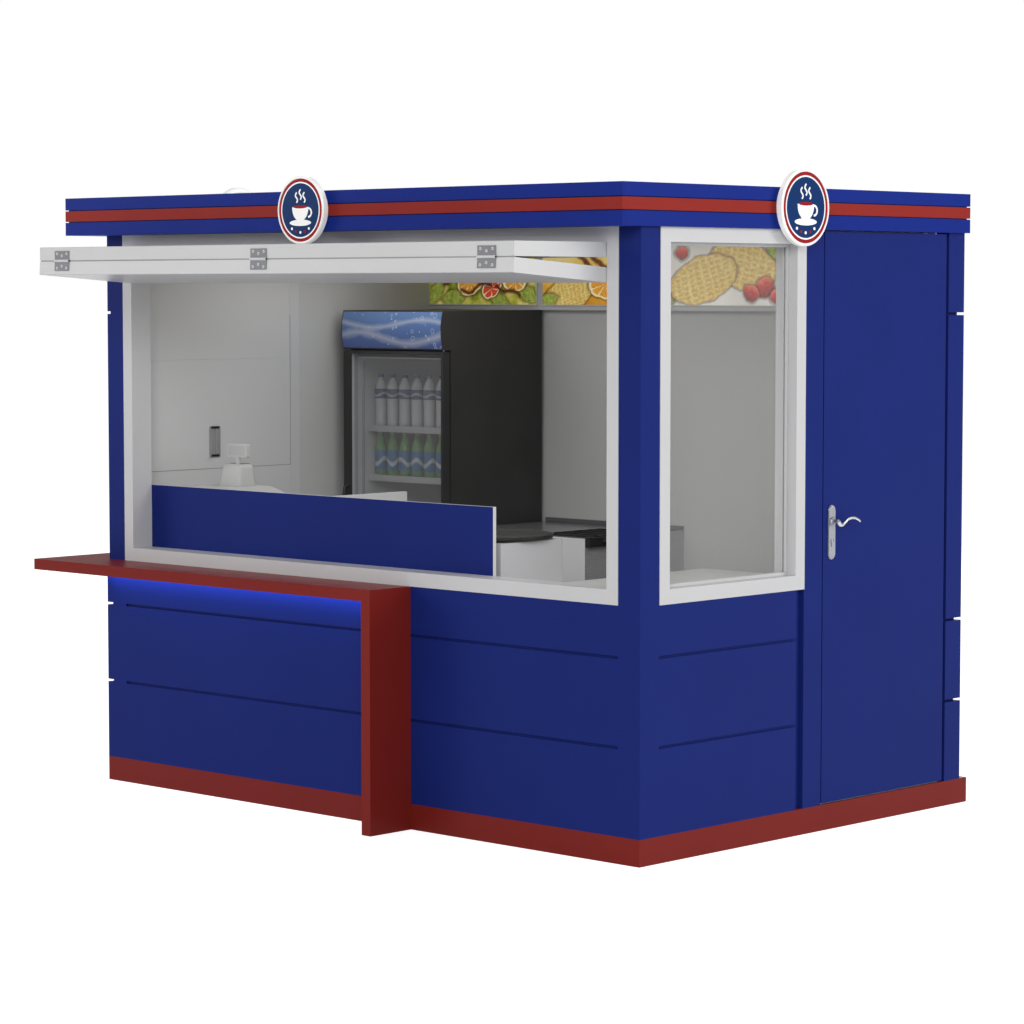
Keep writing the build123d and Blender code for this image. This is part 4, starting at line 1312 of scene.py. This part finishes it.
def till_piece():
    """Rounded body with keys, a stem and a customer display."""
    mesh, middle, base = bmesh.new(), till.middle, stand.z1
    wide, deep = till.size.x / 2, till.size.y / 2
    rings = []
    for height, shrink in BODY_TAPER:
        y = middle.y + min(height, 0.084) * 0.06
        outline = rounded(wide - shrink, deep - shrink * 0.9, 0.016, 8)
        rings.append([(middle.x + a, y + b, base + height) for a, b in outline])
    add_skin(mesh, rings)
    x, y, low = middle.x, middle.y + 0.006, till.z1 - DISPLAY_HEIGHT
    heights = (base + TILL_BODY_HEIGHT - 0.002, low - 0.008, low + 0.004)
    add_tube(mesh, [(x, y, z) for z in heights], [0.0120, 0.0095, 0.0115], 20)
    half, flat = wide - 0.003, facing((x, y - 0.010, low), (1, 0, 0))
    outline = rounded(half, DISPLAY_HEIGHT / 2, 0.007, 6, DISPLAY_HEIGHT / 2)
    add_plate(mesh, outline, -0.020, 0.0, flat)
    low, high = (0.008 - half, 0.009, 0.0), (half - 0.008, DISPLAY_HEIGHT - 0.009, 0.0006)
    add_box(mesh, low, high, 1, flat)
    keys = facing((x, middle.y + 0.014, base + TILL_BODY_HEIGHT), (-1, 0, 0), (0, -1, 0))
    for row in range(3):
        for column in range(5):
            x, y = -0.034 + column * 0.0165, -0.026 + row * 0.014
            add_box(mesh, (x, y, -0.001), (x + 0.012, y + 0.010, 0.0022), 2, keys)
    coats = [till_white, till_glass, till_keys]
    return finish_piece("till_detailed", mesh, coats, bevel=0.001, smooth=40)


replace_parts(till_piece(), "till")


# --- Stage, lights and camera ---------------------------------------------------

def build_floor():
    """A pale floor that shows white and keeps the object's shadow."""
    mesh, reach = bpy.data.meshes.new("floor"), 60
    corners = [(x * reach, y * reach, 0) for x, y in ((-1, -1), (1, -1), (1, 1), (-1, 1))]
    mesh.from_pydata(corners, [], [(0, 1, 2, 3)])
    floor = bpy.data.objects.new("floor", mesh)
    bpy.context.scene.collection.objects.link(floor)
    floor.location.z = -0.001
    shade = Shade("floor_pale")
    shade.link(shade.tone(srgb(232, 232, 232), 0.01, 0.5), "Base Color")
    camera, glossy, through = (
        shade.wire("ShaderNodeLightPath", "Is %s Ray" % kind)
        for kind in ("Camera", "Glossy", "Transmission")
    )
    shade.link(camera.most(glossy).most(through) * 0.75, "Emission Strength")
    shade.set(Emission_Color=FULL, Roughness=1.0, Specular_IOR_Level=0.0)
    mesh.materials.append(shade.material)


def build_world():
    """Even light from all round; the camera sees it white."""
    world = bpy.data.worlds.new("studio")
    bpy.context.scene.world = world
    world.use_nodes = True
    tree = world.node_tree
    background = tree.nodes["Background"].inputs
    background["Color"].default_value = FULL
    rays = tree.nodes.new("ShaderNodeLightPath").outputs
    seen = tree.nodes.new("ShaderNodeMath")
    seen.operation = "MAXIMUM"
    strength = tree.nodes.new("ShaderNodeMapRange")
    strength.inputs["To Min"].default_value = 0.36
    strength.inputs["To Max"].default_value = 1.0
    for output, socket in (
        (rays["Is Camera Ray"], seen.inputs[0]),
        (rays["Is Transmission Ray"], seen.inputs[1]),
        (seen.outputs[0], strength.inputs["Value"]),
        (strength.outputs["Result"], background["Strength"]),
    ):
        tree.links.new(output, socket)


def lamp(name, place, target, size, power, color=(1, 1, 1)):
    light = bpy.data.lights.new(name, "AREA")
    light.shape = "RECTANGLE"
    light.size, light.size_y = size
    light.energy = power
    light.color = color
    made = bpy.data.objects.new(name, light)
    made.location = place
    made.rotation_euler = (Vector(target) - Vector(place)).to_track_quat("-Z", "Y").to_euler()
    bpy.context.scene.collection.objects.link(made)
    return made


def build_camera():
    camera = bpy.data.cameras.new("camera")
    camera.lens = 110.04
    camera.sensor_width = 36
    made = bpy.data.objects.new("camera", camera)
    made.location = (8.855, -9.442, 2.084)
    made.rotation_euler = Euler([math.radians(a) for a in (85.939, 0.0, 43.385)])
    bpy.context.scene.collection.objects.link(made)
    bpy.context.scene.camera = made


build_floor()
build_world()
build_camera()
lamp("key", (9, -11, 7), (0, 0, 1.2), (7, 5), 800)
lamp("fill_left", (-9, -7, 5), (0, 0, 1.2), (6, 5), 330)
lamp("fill_right", (10, 4, 5), (0, 0, 1.2), (6, 5), 470)
lamp("fill_back", (-7, 9, 5), (0, 0, 1.2), (6, 5), 260)
lamp("room", (-0.2, -0.1, 2.28), (-0.2, -0.1, 0), (1.9, 0.9), 9)
strip = Bounds("counter_light")
glow = lamp(
    "counter_glow", strip.middle + Vector((0, -0.045, -0.012)),
    strip.middle + Vector((0, 0.03, -0.12)), (strip.size.x - 0.02, 0.03), 1.5, (0.55, 0.78, 1.0),
)
glow.visible_camera = False
bpy.context.scene.view_settings.view_transform = "Standard"
